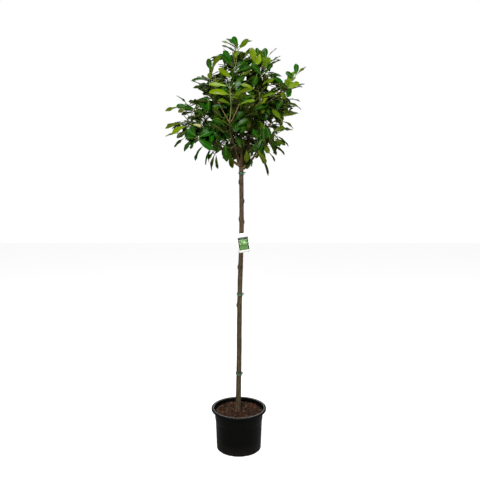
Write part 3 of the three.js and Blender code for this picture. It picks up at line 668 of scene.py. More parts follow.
def bark(name, light, dark, fissure, lenticel):
    """Bark of a young stem: dull grey-brown, darker in its long shallow cracks, with pale breathing pores
    that lie across it."""
    material, tree, place = new_material(name)
    long = add_node(tree, "ShaderNodeMapping", {"Vector": place, "Scale": (1.0, 1.0, 0.16)})
    crack = add_node(tree, "ShaderNodeTexNoise", {
        "Vector": long.outputs["Vector"], "Detail": 5.0, "Scale": per_metre(fissure), "Roughness": 0.65})
    depth = add_node(tree, "ShaderNodeMapRange", {
        "Value": crack.outputs["Fac"], "From Min": 0.34, "From Max": 0.66})
    tint = add_node(tree, "ShaderNodeMix", {
        FACTOR: depth.outputs["Result"], FIRST: toned(dark), SECOND: toned(light)}, data_type="RGBA")
    flat = add_node(tree, "ShaderNodeMapping", {"Vector": place, "Scale": (1.0, 1.0, 3.2)})
    pore = add_node(tree, "ShaderNodeTexVoronoi", {
        "Vector": flat.outputs["Vector"], "Scale": per_metre(lenticel)})
    spot = add_node(tree, "ShaderNodeMapRange", {
        "Value": pore.outputs["Distance"], "From Min": 0.12, "From Max": 0.2, "To Min": 0.55, "To Max": 0.0})
    spotted = add_node(tree, "ShaderNodeMix", {FACTOR: spot.outputs["Result"], FIRST: tint.outputs[MIXED],
                                               SECOND: toned(light, 1.5)}, data_type="RGBA")
    bump = add_node(tree, "ShaderNodeBump", {
        "Height": crack.outputs["Fac"], "Strength": 0.6, "Distance": 1.2 * MM})
    show(tree, {"Base Color": spotted.outputs[MIXED], "Roughness": 0.82, "IOR": 1.45,
                "Specular IOR Level": 0.25, "Normal": bump.outputs["Normal"]})
    return material


def moulded_polypropylene(name, colour, dust, gloss):
    """Recycled polypropylene, injection moulded: black with a soft sheen that flow marks make uneven, and a
    little dry soil on its lower wall. With the rim's grey and more gloss, it paints a sheen on the rim's
    ridge."""
    material, tree, place = new_material(name)
    flow = add_node(tree, "ShaderNodeMapping", {"Vector": place, "Scale": (1.0, 1.0, 0.25)})
    mark = add_node(tree, "ShaderNodeTexNoise", {
        "Vector": flow.outputs["Vector"], "Scale": per_metre(28), "Detail": 4.0})
    sheen = add_node(tree, "ShaderNodeMapRange", {
        "Value": mark.outputs["Fac"], "To Min": 0.34, "To Max": 0.52})
    height = add_node(tree, "ShaderNodeSeparateXYZ", {"Vector": place})
    low = add_node(tree, "ShaderNodeMapRange", {
        "Value": height.outputs["Z"], "From Min": 0.0, "From Max": 70 * MM, "To Min": 0.3, "To Max": 0.02})
    speck = add_node(tree, "ShaderNodeTexNoise", {"Vector": place, "Scale": per_metre(11), "Detail": 6.0})
    soiled = add_node(tree, "ShaderNodeMath", {0: low.outputs["Result"], 1: speck.outputs["Fac"]},
                      operation="MULTIPLY")
    tint = add_node(tree, "ShaderNodeMix", {
        FACTOR: soiled.outputs["Value"], FIRST: toned(colour), SECOND: toned(dust)}, data_type="RGBA")
    bump = add_node(tree, "ShaderNodeBump", {
        "Height": mark.outputs["Fac"], "Strength": 0.15, "Distance": 0.8 * MM})
    show(tree, {"Base Color": tint.outputs[MIXED], "Roughness": sheen.outputs["Result"], "IOR": 1.49,
                "Specular IOR Level": gloss, "Normal": bump.outputs["Normal"]})
    return material


def composted_bark(name, colour, grain):
    """Composted pine bark, screened and moist: dull, dark and crumbly, with no gloss."""
    material, tree, place = new_material(name)
    tint, crumb = mottled(tree, place, grain, toned(colour, 0.4), toned(colour, 1.7), Detail=6.0,
                          Roughness=0.7)
    bump = add_node(tree, "ShaderNodeBump", {"Height": crumb, "Strength": 0.8, "Distance": 1.5 * MM})
    show(tree, {"Base Color": tint, "Roughness": 0.92, "Specular IOR Level": 0.2,
                "Normal": bump.outputs["Normal"]})
    return material


def soft_vinyl(name, colour):
    """Plasticised vinyl, extruded as tying tube: an even green with a low waxy sheen and faint scuffs."""
    material, tree, place = new_material(name)
    tint, _ = mottled(tree, place, 6, toned(colour, 0.8), toned(colour, 1.2), Detail=3.0)
    show(tree, {"Base Color": tint, "Roughness": 0.45, "IOR": 1.53, "Specular IOR Level": 0.4})
    return material


def coated_card(name, colour, spread):
    """Coated card, printed and varnished: flat colour with a slight sheen and faint clouds in the ink."""
    material, tree, place = new_material(name)
    tint, _ = mottled(tree, place, 14, toned(colour, 1 - spread), toned(colour, 1 + spread), Detail=2.0)
    show(tree, {"Base Color": tint, "Roughness": 0.4, "IOR": 1.5, "Specular IOR Level": 0.4})
    return material


# Trunk and boughs
def trunk_rings():
    """The heights, middles and radii of the rings of the trunk's solid, from the foot up."""
    corners = np.array([corner.co for corner in frame["nodes"]["trunk"].data.vertices])
    heights = np.unique(corners[:, 2].round(4))
    rings = [corners[abs(corners[:, 2] - height) < 0.5 * MM] for height in heights]
    middles = np.array([(ring.min(0) + ring.max(0)) / 2 for ring in rings])
    radii = np.array([np.ptp(ring[:, 0]) / 2 for ring in rings])
    return heights, middles, radii


TRUNK_HEIGHTS, TRUNK_MIDDLES, TRUNK_RADII = trunk_rings()
TRUNK_FOOT, FORK = TRUNK_HEIGHTS[0], TRUNK_HEIGHTS[-1]


def trunk_centre(height):
    """The middle of the trunk at a height."""
    return np.array([np.interp(height, TRUNK_HEIGHTS, TRUNK_MIDDLES[:, k]) for k in (0, 1)] + [height])


def trunk_radius(height):
    """The radius of the trunk's solid at a height."""
    return float(np.interp(height, TRUNK_HEIGHTS, TRUNK_RADII))


def around_trunk(turn, out, height):
    """A point by the way it turns from the trunk's line at the fork, how far out, and its height."""
    x, y, _ = trunk_centre(FORK)
    return polar(turn, out, height) + [x, y, 0.0]


def bough_path(name):
    """A bough leaves the trunk low and wide, then turns up."""
    bough = BOUGHS[name]
    leaves, height, out = bough["leaves"] * MM, bough["height"] * MM, bough["out"] * MM
    start = trunk_centre(leaves) + polar(bough["turn"], bough["foot"] * MM, 0.0)
    bend = around_trunk(bough["turn"], out * BOUGH["bend_out"], lerp(leaves, height, BOUGH["bend_up"]))
    return bezier(start, bend, around_trunk(bough["turn"], out, height))


def knot_relief(height, turn):
    """How far the old pruning cuts stand out on the trunk, at a height and at a turn in radians."""
    out = 0.0
    for knot_height, knot_turn in KNOTS:
        off = (math.degrees(turn) - knot_turn + 180) % 360 - 180
        across = off / 360 * 2 * math.pi * trunk_radius(height)
        away = math.hypot(across, (height - knot_height * MM) * KNOT["length"])
        swelling = KNOT["swelling"] * math.exp(-((away / KNOT["width"]) ** 2))
        scar = KNOT["scar"] * math.exp(-((away / KNOT["scar_width"]) ** 2))
        out += swelling - scar
    return out


def bark_relief(height, angle, radius, depth):
    """Long shallow ridges and cracks of the bark, as what they stand out by."""
    x, y = math.cos(angle) * radius, math.sin(angle) * radius
    ridge = noise.noise(Vector((x * RIDGE["round"], y * RIDGE["round"], height * RIDGE["along"])))
    along = height * CRACK["along"] + CRACK["shift"]
    crack = noise.noise(Vector((x * CRACK["round"], y * CRACK["round"], along)))
    return depth * (RIDGE["share"] * ridge - CRACK["share"] * abs(crack))


def grow_trunk(settings):
    """The trunk, with its bark's relief, its knots and the lobes of its root flare."""
    heights = TRUNK_FOOT + (FORK - TRUNK_FOOT) * np.linspace(0, 1, TRUNK["rings"]) ** TRUNK["crowding"]
    points = []
    for height in heights:
        centre, radius = trunk_centre(height), trunk_radius(height) + TRUNK["skin"]
        flare = math.exp(-(height - TRUNK_FOOT) / TRUNK["flare"])
        rounding = 1 - TRUNK["rounding"] * float(smoothstep(height, FORK - TRUNK["rounded"], FORK)) ** 2
        for k in range(TRUNK["sides"]):
            angle = math.tau * k / TRUNK["sides"]
            lobes = flare * TRUNK["lobe"] * math.cos(TRUNK["lobes"] * angle + TRUNK["lobe_turn"])
            relief = bark_relief(height, angle, radius, settings.relief) + knot_relief(height, angle)
            out = (radius + lobes + relief) * rounding
            points.append(centre + np.array([out * math.cos(angle), out * math.sin(angle), 0.0]))
    pile = Pile()
    pile.add(points, ring_faces(TRUNK["rings"], TRUNK["sides"]))
    material = bark("Laurel bark, weathered", settings.light, settings.dark, fissure=5.5, lenticel=9.0)
    pile.build("trunk_bark", [material], "trunk_bark", ["trunk"])


def grow_boughs(settings):
    """One tapering limb for each bough, with a collar where it leaves the trunk."""
    material = bark("Laurel bark, young", settings.young_light, settings.young_dark, fissure=4.0,
                    lenticel=8.0)
    depth = BOUGH_MESH["relief"] * settings.relief
    for name in BOUGHS:
        path = bough_path(name)
        shares = np.linspace(0, 1, BOUGH_MESH["rings"])
        collar = BOUGH_MESH["collar"] * np.exp(-shares * path.length / BOUGH_MESH["collar_length"])
        radii = lerp(BOUGH["foot_radius"], BOUGH["tip_radius"], shares) * (1 + collar)
        radii[-len(BOUGH_END):] *= BOUGH_END

        def relief(share, angle):
            return bark_relief(share * path.length + FORK_SHIFT, angle, BOUGH["foot_radius"], depth)

        pile = Pile()
        pile.add(*tube(path, radii, BOUGH_MESH["sides"], relief))
        pile.build(f"bough_{name}_bark", [material], "bough_bark", [f"bough_{name}"])


# Crown
LEVEL = 0.3  # an axis that lies nearly along X takes its side from Y


def leaning(axis, angle, turn):
    """A direction at an angle to an axis, turned round it, both in degrees."""
    side = np.cross(RIGHT, axis)
    if np.linalg.norm(side) < LEVEL:
        side = np.cross(BACK, axis)
    side = unit(side)
    tilt, roll = math.radians(angle), math.radians(turn)
    across = math.cos(roll) * side + math.sin(roll) * np.cross(axis, side)
    return math.cos(tilt) * axis + math.sin(tilt) * across


def lift(height):
    """How much the foliage at a height lifts towards the light, from 0 at the skirt to 1 at the top."""
    return float(smoothstep(height, CROWN_SKIRT, CROWN_TOP))


def heart(name):
    """The middle of a mass's space."""
    mass = MASSES[name]
    return around_trunk(mass["turn"], mass["out"] * MM, mass["height"] * MM)


def stem_path(name):
    """The stem of a mass runs from its bough's tip through the heart and on towards the outside. Two stems
    that share a tip start side by side on it, each on the side that it grows to."""
    mass = MASSES[name]
    carrier = bough_path(mass["bough"])
    along = carrier.way(1.0)
    start = carrier.at(1.0) - along * STEM["sunk"] * BOUGH["tip_radius"]
    for other in MASSES:
        if other != name and MASSES[other]["bough"] == mass["bough"]:
            away = heart(name) - heart(other)
            away = unit(away - along * np.dot(away, along))
            start = start + away * STEM["aside"] * BOUGH["tip_radius"]
    outward = unit(heart(name) - around_trunk(0, 0, CROWN_MIDDLE))
    end = heart(name) + outward * mass["reach"] * MM * STEM["past"]
    length = np.linalg.norm(end - start)
    lead = start + along * length * STEM["lead"]
    return bezier(start, lead, heart(name) - outward * length * STEM["aim"], end)


def twig_path(parent, share, angle, length, turn, way_from):
    """A twig leaves its parent at an angle, and its outer half turns towards the light."""
    start = parent.at(share)
    way = leaning(parent.way(way_from), angle, turn)
    bend = start + way * length / 2
    way = unit(way + UP * lerp(TWIG_RISE["skirt"], TWIG_RISE["top"], lift(start[2])))
    return bezier(start, bend, bend + way * length / 2)


def in_reach(name, points, reach):
    """Whether all points are this close to the heart of a mass."""
    away = np.linalg.norm(np.asarray(points) - heart(name), axis=1)
    return away.max() <= reach


def seen_at(x, y, depth):
    """The point at a depth that shows at a place in the picture."""
    focus = LENS / SENSOR * PICTURE
    across, above = (x - PICTURE / 2) / focus, (PICTURE / 2 - y) / focus
    level, down = math.cos(PITCH), math.sin(PITCH)
    ray = np.array([across, level + above * down, above * level - down])
    return EYE + ray * (depth - EYE[1]) / ray[1]


def at_trunk_depth(points):
    """Where points show, measured across and up at the trunk's depth."""
    shares = EYE[1] / (EYE[1] - points[:, 1])
    return EYE + (points - EYE) * shares[:, None]


def covers_sky(points):
    """Whether a leaf with these points would cover a place where the crown is open."""
    seen = at_trunk_depth(points)
    gaps = np.array(OPEN_SKY) * MM
    across = (seen[:, 0, None] - gaps[:, 0]) / gaps[:, 2]
    upright = (seen[:, 2, None] - gaps[:, 1]) / gaps[:, 3]
    return (across**2 + upright**2 < 1).any()


def fitted_twig(name, parent, share, angle, length, turn, way_from):
    """The first of a twig's tries that keeps to the mass's reach, or None."""
    for turn_on in TRIES:
        path = twig_path(parent, share, angle, length, turn + turn_on, way_from)
        if in_reach(name, path.points, MASSES[name]["reach"] * MM):
            return path
    return None


def new_shoot(kind, path, skin, parent=None, start=0.0, used=0.0):
    """A shoot of a kind along a path, from a share of its parent's length, used up to a share of its own."""
    return {**kind, "path": path, "skin": skin, "parent": parent, "from": start, "used": used}


def grow_shoots(name, settings, random):
    """The stem of a mass, its twigs and their finer twigs."""
    stem = new_shoot(STEM, stem_path(name), "woody")
    twigs, finer = [], []
    turn = random() * 360
    for k in range(settings.twigs):
        place = k / (settings.twigs - 1)
        share = lerp(TWIG_PLACES["first"], TWIG_PLACES["last"], place)
        angle = lerp(TWIG_SPREAD["first"], TWIG_SPREAD["last"], place)
        length = MASSES[name]["reach"] * MM * TWIG["length"] * lerp(TWIG["low"], TWIG["high"], random())
        path = fitted_twig(name, stem["path"], share, angle, length, turn + k * SPIRAL, TWIG_SPREAD["from"])
        if path:
            twigs.append(new_shoot(TWIG, path, "leafy", stem, share))
    for twig in twigs:
        turn = random() * 360
        for k in range(settings.finer_twigs):
            share = lerp(FINE["first"], FINE["last"], k / max(settings.finer_twigs - 1, 1))
            length = twig["path"].length * FINE["length"] * lerp(TWIG["low"], TWIG["high"], random())
            path = fitted_twig(name, twig["path"], share, FINE["spread"], length, turn + k * SPIRAL, share)
            if path:
                finer.append(new_shoot(FINE, path, "leafy", twig, share))
    return [stem, *twigs, *finer]


def leaf_faces():
    """The faces of a blade, whether each is upper, lower or rib, and the edges of its outline. Each row has
    the upper corners of all the columns, then the lower corners of the inner ones."""
    columns, rows, tip = len(LEAF_COLUMNS), len(LEAF_ROWS), LEAF_TIP

    def upper(row, column):
        return row * LEAF_ROW_SIZE + column

    def lower(row, column):
        inner = 0 < column < columns - 1
        return row * LEAF_ROW_SIZE + (columns - 1 + column if inner else column)

    faces, kinds, outline = [], [], []
    for left in range(columns - 1):
        right = left + 1
        for row in range(rows - 1):
            faces.append([upper(row, left), upper(row, right), upper(row + 1, right), upper(row + 1, left)])
            faces.append([lower(row, left), lower(row + 1, left), lower(row + 1, right), lower(row, right)])
        faces.append([upper(rows - 1, left), upper(rows - 1, right), tip])
        faces.append([lower(rows - 1, left), tip, lower(rows - 1, right)])
        kinds += (["rib", "rib"] if left == RIB_COLUMNS[0] else ["upper", "lower"]) * rows
    faces.append([upper(0, column) for column in reversed(range(columns))]
                 + [lower(0, column) for column in range(1, columns - 1)])
    kinds.append("rib")
    for column in (0, columns - 1):
        ends = [upper(row, column) for row in range(rows)] + [tip]
        outline += list(zip(ends, ends[1:]))
    return faces, kinds, outline


LEAF_FACES, LEAF_KINDS, LEAF_OUTLINE = leaf_faces()
# The upper faces without the first row, which is at the stalk, and the corners along one side of the rib.
UPPER_FACES = [face for face, kind in zip(LEAF_FACES, LEAF_KINDS)
               if kind == "upper" and min(face) >= LEAF_ROW_SIZE]
RIB_CORNERS = [*range(RIB_COLUMNS[0], LEAF_TIP, LEAF_ROW_SIZE), LEAF_TIP]


def blade_points(settings, length, width, bend, twist, wave):
    """The corners of a blade that starts at the origin and points along +Y: folded up along its rib, arched
    down over its length, twisted, and waved along its edges."""
    shares = np.array(LEAF_ROWS + (1.0,))
    halves = width / 2 * np.sin(np.pi * shares ** (math.log(0.5) / math.log(LEAF_WIDEST))) ** LEAF_FULLNESS
    halves = np.maximum(np.nan_to_num(halves), RIB * BLADE["least"])
    slopes = bend * (BLADE["arch_from"] - shares)
    middles = (slopes[1:] + slopes[:-1]) / 2
    steps = np.diff(shares) * length
    along = np.concatenate([[0.0], np.cumsum(np.cos(middles) * steps)])
    rise = np.concatenate([[0.0], np.cumsum(np.sin(middles) * steps)])
    last = len(LEAF_COLUMNS) - 1
    points = []
    for row, share in enumerate(LEAF_ROWS):
        rib = RIB * (1 - BLADE["rib_narrowing"] * share)
        across = np.array(LEAF_COLUMNS) * halves[row]
        across[RIB_COLUMNS] = -rib, rib
        turn = twist * (share - BLADE["twist_from"])
        stand = settings.fold * abs(across) * (1 - BLADE["fold_easing"] * abs(across) / (width / 2))
        phase = share * BLADE["waves"] + wave[1] + BLADE["wave_shift"] * np.sign(across)
        stand += wave[0] * np.sin(phase) * (abs(across) / width) ** BLADE["wave_rise"]
        x = across * math.cos(turn) - stand * math.sin(turn)
        z = across * math.sin(turn) + stand * math.cos(turn)
        for side, columns in ((0.5, range(last + 1)), (-0.5, range(1, last))):
            for column in columns:
                deep = BLADE["rib_depth"] if side < 0 and column in RIB_COLUMNS else 1.0
                thick = side * settings.leaf_thickness * deep if 0 < column < last else 0.0
                off = z[column] + thick
                points.append((x[column], along[row] - off * math.sin(slopes[row]),
                               rise[row] + off * math.cos(slopes[row])))
    points.append((0.0, along[-1], rise[-1]))
    return np.array(points)


def edge_wave(random):
    """The height and the phase of the waves along a leaf's edges, by chance."""
    return (LEAF_WAVE["least"] + random()) * LEAF_WAVE["height"] * MM, random() * LEAF_WAVE["phase"]


def leaf_places(shoot, settings, random):
    """Where leaves stand on a shoot, from the oldest, which counts as 0, to the one at the tip, 1."""
    path, bare = shoot["path"], shoot["bare"]
    count = max(2, round(path.length * (1 - bare) / settings.leaf_spacing))
    turn = random() * 360
    for k in range(count):
        young = k / (count - 1)
        along = lerp(bare, LEAF_LAST, young**LEAF_CROWDING)
        chance = lerp(LEAF_SIZE["low"], LEAF_SIZE["high"], random())
        bend = lerp(LEAF_BEND["old"], LEAF_BEND["young"], young)
        yield {
            "along": along,
            "root": path.at(along),
            "axis": path.way(along),
            "spread": lerp(LEAF_SPREAD["old"], LEAF_SPREAD["young"], young ** LEAF_SPREAD["bend"]),
            "turn": turn + k * SPIRAL,
            "droop": lerp(LEAF_DROOP["old"], LEAF_DROOP["young"], young),
            "size": lerp(1, LEAF_SIZE["young"], young) * chance,
            "bend": bend + (random() - 0.5) * LEAF_BEND["chance"],
            "twist": (random() - 0.5) * LEAF_TWIST,
            "wave": edge_wave(random),
            "young": young,
        }


def leaf_frame(place, turn_on):
    """The sideways, forward and upper directions of a leaf on its place, turned on round its twig."""
    way = leaning(place["axis"], place["spread"], place["turn"] + turn_on)
    drop = (1 - lift(place["root"][2])) * place["droop"]
    way = unit(way + UP * (LEAF_DROOP["lift"] - drop))
    side = unit(np.cross(way, place["axis"] + UP * LEAF_TO_SKY))
    return np.array([side, way, np.cross(side, way)])


class Crowd:
    """The leaves that have grown so far, for a new one to keep clear of."""

    def __init__(self, limbs):
        self.limbs = limbs
        self.trees, self.middles = [], []
        self.shown, self.clear = np.empty((0, 3)), np.empty(0)

    def show(self, line, clear):
        """Keeps a line of points in view, and leaves in front of it this far off."""
        self.shown = np.concatenate([self.shown, line])
        self.clear = np.concatenate([self.clear, np.full(len(line), clear)])

    def hides(self, points):
        """Whether a leaf would stand in front of what is kept in view."""
        rib = points[RIB_CORNERS]
        off = at_trunk_depth(rib)[:, None, ::2] - at_trunk_depth(self.shown)[None, :, ::2]
        nearer = rib[:, 1, None] < self.shown[:, 1] - IN_FRONT
        return ((np.linalg.norm(off, axis=2) < self.clear) & nearer).any()

    def admits(self, points):
        """Whether a leaf crosses no limb and no other leaf. If so, it joins the crowd."""
        tree = BVHTree.FromPolygons(points.tolist(), UPPER_FACES)
        if tree.overlap(self.limbs):
            return False
        if self.trees:
            near = np.linalg.norm(np.array(self.middles) - points.mean(0), axis=1) < NEIGHBOUR
            if any(self.trees[k].overlap(tree) for k in np.flatnonzero(near)):
                return False
        self.add(points, tree)
        return True

    def add(self, points, tree):
        """Counts a leaf in."""
        self.trees.append(tree)
        self.middles.append(points.mean(0))

    def forget(self, count):
        """Takes the last leaves out again."""
        del self.trees[len(self.trees) - count:], self.middles[len(self.middles) - count:]


def limb_tree():
    """The trunk's and boughs' solids as one tree of faces."""
    points, faces = [], []
    for name in ["trunk"] + [f"bough_{bough}" for bough in BOUGHS]:
        mesh = frame["nodes"][name].data
        faces += [[corner + len(points) for corner in face.vertices] for face in mesh.polygons]
        points += [corner.co for corner in mesh.vertices]
    return BVHTree.FromPolygons(points, faces)


def grow_leaves(name, shoots, settings, random, crowd, pile):
    """The leaves of a mass. One that would pass the mass's reach or cross a limb or another leaf is turned
    on till it fits, or skipped. Each spray is dealt its tints."""
    sprays = MASSES[name]["sprays"]
    for shoot in shoots:
        tints = SPRAYS[sprays[int(random() * len(sprays))]]
        grown = []
        for place in leaf_places(shoot, settings, random):
            length, width = settings.leaf_length * place["size"], settings.leaf_width * place["size"]
            blade = blade_points(settings, length, width, place["bend"], place["twist"], place["wave"])
            blade[:, 1] += STALK["length"]
            tint = tints[min(int(place["young"] * len(tints)), len(tints) - 1)]
            tint = "turning" if random() < TURNING_SHARE else tint
            reach = MASSES[name]["reach"] * MM * (1 if random() < EDGE["kept"] else EDGE["from"])
            for turn_on in TRIES:
                points = blade @ leaf_frame(place, turn_on) + place["root"]
                fits = in_reach(name, points, reach) and not covers_sky(points) and not crowd.hides(points)
                if fits and crowd.admits(points):
                    break
            else:
                continue
            grown.append((points, place["root"], tint, place["along"]))
        if len(grown) < FEWEST and not shoot["used"]:
            crowd.forget(len(grown))
            continue
        for points, root, tint, along in grown:
            add_leaf(pile, points, root, tint)
            carry(shoot, along)


def add_leaf(pile, points, root, tint):
    """Adds a blade and its stalk, which runs from the twig into the blade's rib."""
    slot = 2 * TINTS.index(tint)
    slot_of = {"upper": slot, "lower": slot + 1, "rib": 2 * len(TINTS)}
    pile.add(points, LEAF_FACES, [slot_of[kind] for kind in LEAF_KINDS], LEAF_OUTLINE)
    neck, inside = (points[corners].mean(0) for corners in STALK_CORNERS)
    path = bezier(root, neck, lerp(neck, inside, 0.5), count=STALK["steps"])
    radii = STALK["radius"] * np.linspace(1, STALK["taper"], STALK["rings"])
    pile.add(*tube(path, radii, STALK["sides"]), slots=slot_of["rib"])


def carry(shoot, share):
    """Notes that a shoot carries something at this share of its length."""
    shoot["used"] = max(shoot["used"], share)


PLACES = np.linspace(0, 1, 33)  # shares of a shoot where something may grow on it


def nearest_on(shoots, point):
    """The point on these shoots that is nearest to a point. Its shoot then carries what grows there."""
    places = np.array([[shoot["path"].at(share) for share in PLACES] for shoot in shoots])
    which, place = divmod(np.argmin(np.linalg.norm(places - point, axis=2)), len(PLACES))
    carry(shoots[which], max(PLACES[place], TWIG_END))
    return places[which, place]


def add_twigs(pile, shoots):
    """The wood of a mass. Each shoot ends just past the last thing that it carries."""
    for shoot in reversed(shoots):
        if shoot["used"] and shoot["parent"]:
            carry(shoot["parent"], shoot["from"])
    for shoot in shoots:
        if shoot["used"]:
            path = shoot["path"].cut(min(shoot["used"] + TWIG_END, 1.0))
            radii = np.linspace(shoot["radius"], shoot["tip"], SKINS[shoot["skin"]])
            radii[-1] *= TWIG_BLUNT
            pile.add(*tube(path, radii, TWIG_SIDES), slots=list(SKINS).index(shoot["skin"]))


def grow_shoots_seen(masses, crowd):
    """The shoots that stand out, each from the nearest wood of its mass."""
    for name, radius, skin, depths, places in SHOOTS_SEEN:
        shoots = masses[name]["shoots"]
        depths = np.linspace(*depths, len(places)) * MM
        line = [seen_at(x, y, depth) for (x, y), depth in zip(places, depths)]
        path = bezier(nearest_on(shoots, line[0]), *line)
        size = {"radius": radius * MM, "tip": SHOOT_SEEN["taper"] * (radius * MM)}
        shoots.append(new_shoot(size, path, skin, used=1.0))
        crowd.show(path.points[SHOOT_SEEN["hidden"]:], CLEAR["shoot"])


def stretched_to(blade, length):
    """A blade, tilted and lengthened so that its tip is on +Y at this length."""
    _, y, z = blade[-1]
    reach = math.hypot(y, z)
    forward, risen = blade[:, 1].copy(), blade[:, 2].copy()
    blade[:, 1] = (forward * y + risen * z) / reach * length / reach
    blade[:, 2] = (risen * y - forward * z) / reach
    return blade


def leaf_seen(seen, depth, settings, random):
    """The place of the root and the corners of a leaf that stands out, on a spray at a depth."""
    root_x, root_y, tip_x, tip_y, turn, nearer, arch, _ = seen
    root = seen_at(root_x, root_y, depth)
    tip = seen_at(tip_x, tip_y, depth - nearer * MM)
    way, length = unit(tip - root), np.linalg.norm(tip - root)
    facing = unit(way * way[1] - BACK)
    upward = np.cross(way, facing)
    outward = UP + SPRAY_SEEN["outward"] * np.sign(root[0]) * RIGHT
    upward = upward if np.dot(upward, outward) > 0 else -upward
    face = facing * math.cos(math.radians(turn)) + upward * math.sin(math.radians(turn))
    size = min(length / settings.leaf_length, 1.0)
    width = settings.leaf_width * lerp(SPRAY_SEEN["narrow"], SPRAY_SEEN["wide"], size)
    blade = blade_points(settings, length, width, arch, (random() - 0.5) * LEAF_TWIST, edge_wave(random))
    return root, stretched_to(blade, length) @ np.array([np.cross(way, face), way, face]) + root


def grow_sprays_seen(masses, settings, crowd):
    """The sprays that stand out, each on a twig from the nearest wood of its mass."""
    random = dice(settings.seed - 1)
    for name, depth, place, leaves in SPRAYS_SEEN:
        mass = masses[name]
        end = seen_at(*place, depth * MM)
        start = nearest_on(mass["shoots"], end)
        sag = SPRAY_SEEN["sag"] * np.linalg.norm(end - start)
        path = bezier(start, lerp(start, end, SPRAY_SEEN["sag_at"]) - UP * sag, end)
        mass["shoots"].append(new_shoot(FINE, path, "woody", used=1.0))
        for leaf in leaves:
            root, points = leaf_seen(leaf, depth * MM, settings, random)
            crowd.add(points, BVHTree.FromPolygons(points.tolist(), UPPER_FACES))
            crowd.show(points[RIB_CORNERS], CLEAR["leaf"])
            add_leaf(mass["leaves"], points, nearest_on(mass["shoots"], root), leaf[-1])


def leaf_materials(settings):
    """The upper and lower face of each tint in turn, then the ribs and stalks."""
    materials = []
    for tint in TINTS:
        upper = getattr(settings, tint)
        lower = [lerp(tone, pale, UNDERSIDE_FADE) for tone, pale in zip(upper, settings.underside)]
        materials.append(leaf_upper(f"Laurel leaf, waxed, {tint}", upper))
        materials.append(leaf_lower(f"Laurel leaf, underside, {tint}", lower))
    materials.append(plant_fibre("Laurel rib and stalk", settings.rib, 5, 0.5))
    return materials


def grow_crown(settings):
    """The leaves and the twigs of every mass, each kind in a piece of its own."""
    materials = leaf_materials(settings)
    # The last skin, darker, is painted shade on the twigs among the leaves.
    wood = [plant_fibre("Laurel twig, woody", settings.woody_shoot, 4, 0.75),
            plant_fibre("Laurel shoot, green", settings.green_shoot, 6, 0.5),
            plant_fibre("Laurel shoot, reddened", settings.red_shoot, 6, 0.55),
            plant_fibre("Laurel twig, leafy", settings.shaded_twig, 6, 0.6)]
    crowd = Crowd(limb_tree())
    masses = {}
    for index, name in enumerate(MASSES):
        random = dice(settings.seed + index)
        masses[name] = {"random": random, "shoots": grow_shoots(name, settings, random), "twigs": Pile(),
                        "leaves": Pile()}
    grown = {name: list(mass["shoots"]) for name, mass in masses.items()}
    crowd.show([trunk_centre(height) for height in np.arange(*TRUNK_SEEN)], CLEAR["limb"])
    for bough, share in LIMBS_SEEN.items():
        path = bough_path(bough)
        crowd.show(path.points[path.along < share * path.length], CLEAR["limb"])
    grow_shoots_seen(masses, crowd)
    grow_sprays_seen(masses, settings, crowd)
    for name, mass in masses.items():
        grow_leaves(name, grown[name], settings, mass["random"], crowd, mass["leaves"])
        add_twigs(mass["twigs"], mass["shoots"])
        mass["twigs"].build(f"twigs_{name}", wood, "bough_bark")
        mass["leaves"].build(f"leaves_{name}", materials, "laurel_leaf", [f"foliage_{name}"])


# Pot and compost
POT_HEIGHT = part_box("pot")[1].z
RIM_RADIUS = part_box("pot")[1].x
COMPOST_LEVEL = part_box("compost")[1].z
POT = {"wall": 2.6 * MM, "floor": 3 * MM, "foot_radius": 134 * MM, "bevel": 5 * MM, "step_height": 165 * MM,
       "step_rise": 26 * MM, "step_radius": 139.5 * MM, "collar_radius": 143.5 * MM, "neck_radius": 147 * MM,
       "rim_thickness": 3.2 * MM, "rim_skirt": 13 * MM, "lip": 3 * MM, "ridge": 1 * MM, "sides": 160}
# The recesses round the pot's foot: half their width at full depth and at their edges, and the share of their
# height where they begin to fade.
DRAIN = {"count": 10, "height": 24 * MM, "depth": 1.5 * MM, "full": 6 * MM, "edge": 10 * MM, "fade": 0.6}


def pot_profile():
    """The half section of the pot, up its outside, over the rim with its ridge, and down its inside."""
    foot, step, collar, neck = (POT[f"{part}_radius"] for part in ("foot", "step", "collar", "neck"))
    bevel, wall, lip, floor = POT["bevel"], POT["wall"], POT["lip"], POT["floor"]
    step_foot, step_top = POT["step_height"], POT["step_height"] + POT["step_rise"]
    rim_top, skirt = POT_HEIGHT - POT["ridge"], POT_HEIGHT - POT["rim_skirt"]
    under, inner = rim_top - POT["rim_thickness"], RIM_RADIUS - POT["rim_thickness"]
    bead = POT["rim_thickness"] / 2
    profile = [(0.0, 0.0), (foot * 0.55, 0.0), (foot - bevel, 0.0)]
    profile += arc((foot - bevel, bevel), bevel, -60, -15, 3)
    for height in np.linspace(bevel, step_foot, 16):
        profile.append((float(np.interp(height, (bevel, step_foot), (foot, step))), height))
    for share in (0.3, 0.5, 0.7, 1.0):
        radius = lerp(step, collar, float(smoothstep(share, 0, 1)))
        profile.append((radius, lerp(step_foot, step_top, share)))
    profile += [(neck - 0.6 * MM, under - 6 * MM), (neck + 1 * MM, under - 1 * MM), (neck + 4 * MM, under),
                (inner - 2 * MM, under), (inner, under - 2 * MM)]
    profile += arc((inner + bead, skirt + bead), bead, 180, 360, 5)
    profile += arc((RIM_RADIUS - lip, rim_top - lip), lip, 0, 90, 5)
    for inset, height in ((8, rim_top), (9, POT_HEIGHT), (13, POT_HEIGHT), (14, rim_top)):
        profile.append((RIM_RADIUS - inset * MM, height))
    profile += arc((neck + lip, rim_top - lip), lip, 90, 180, 5)
    profile += [(collar - wall, step_top), (step - wall, step_foot), (foot - wall, floor), (0.0, floor)]
    return profile


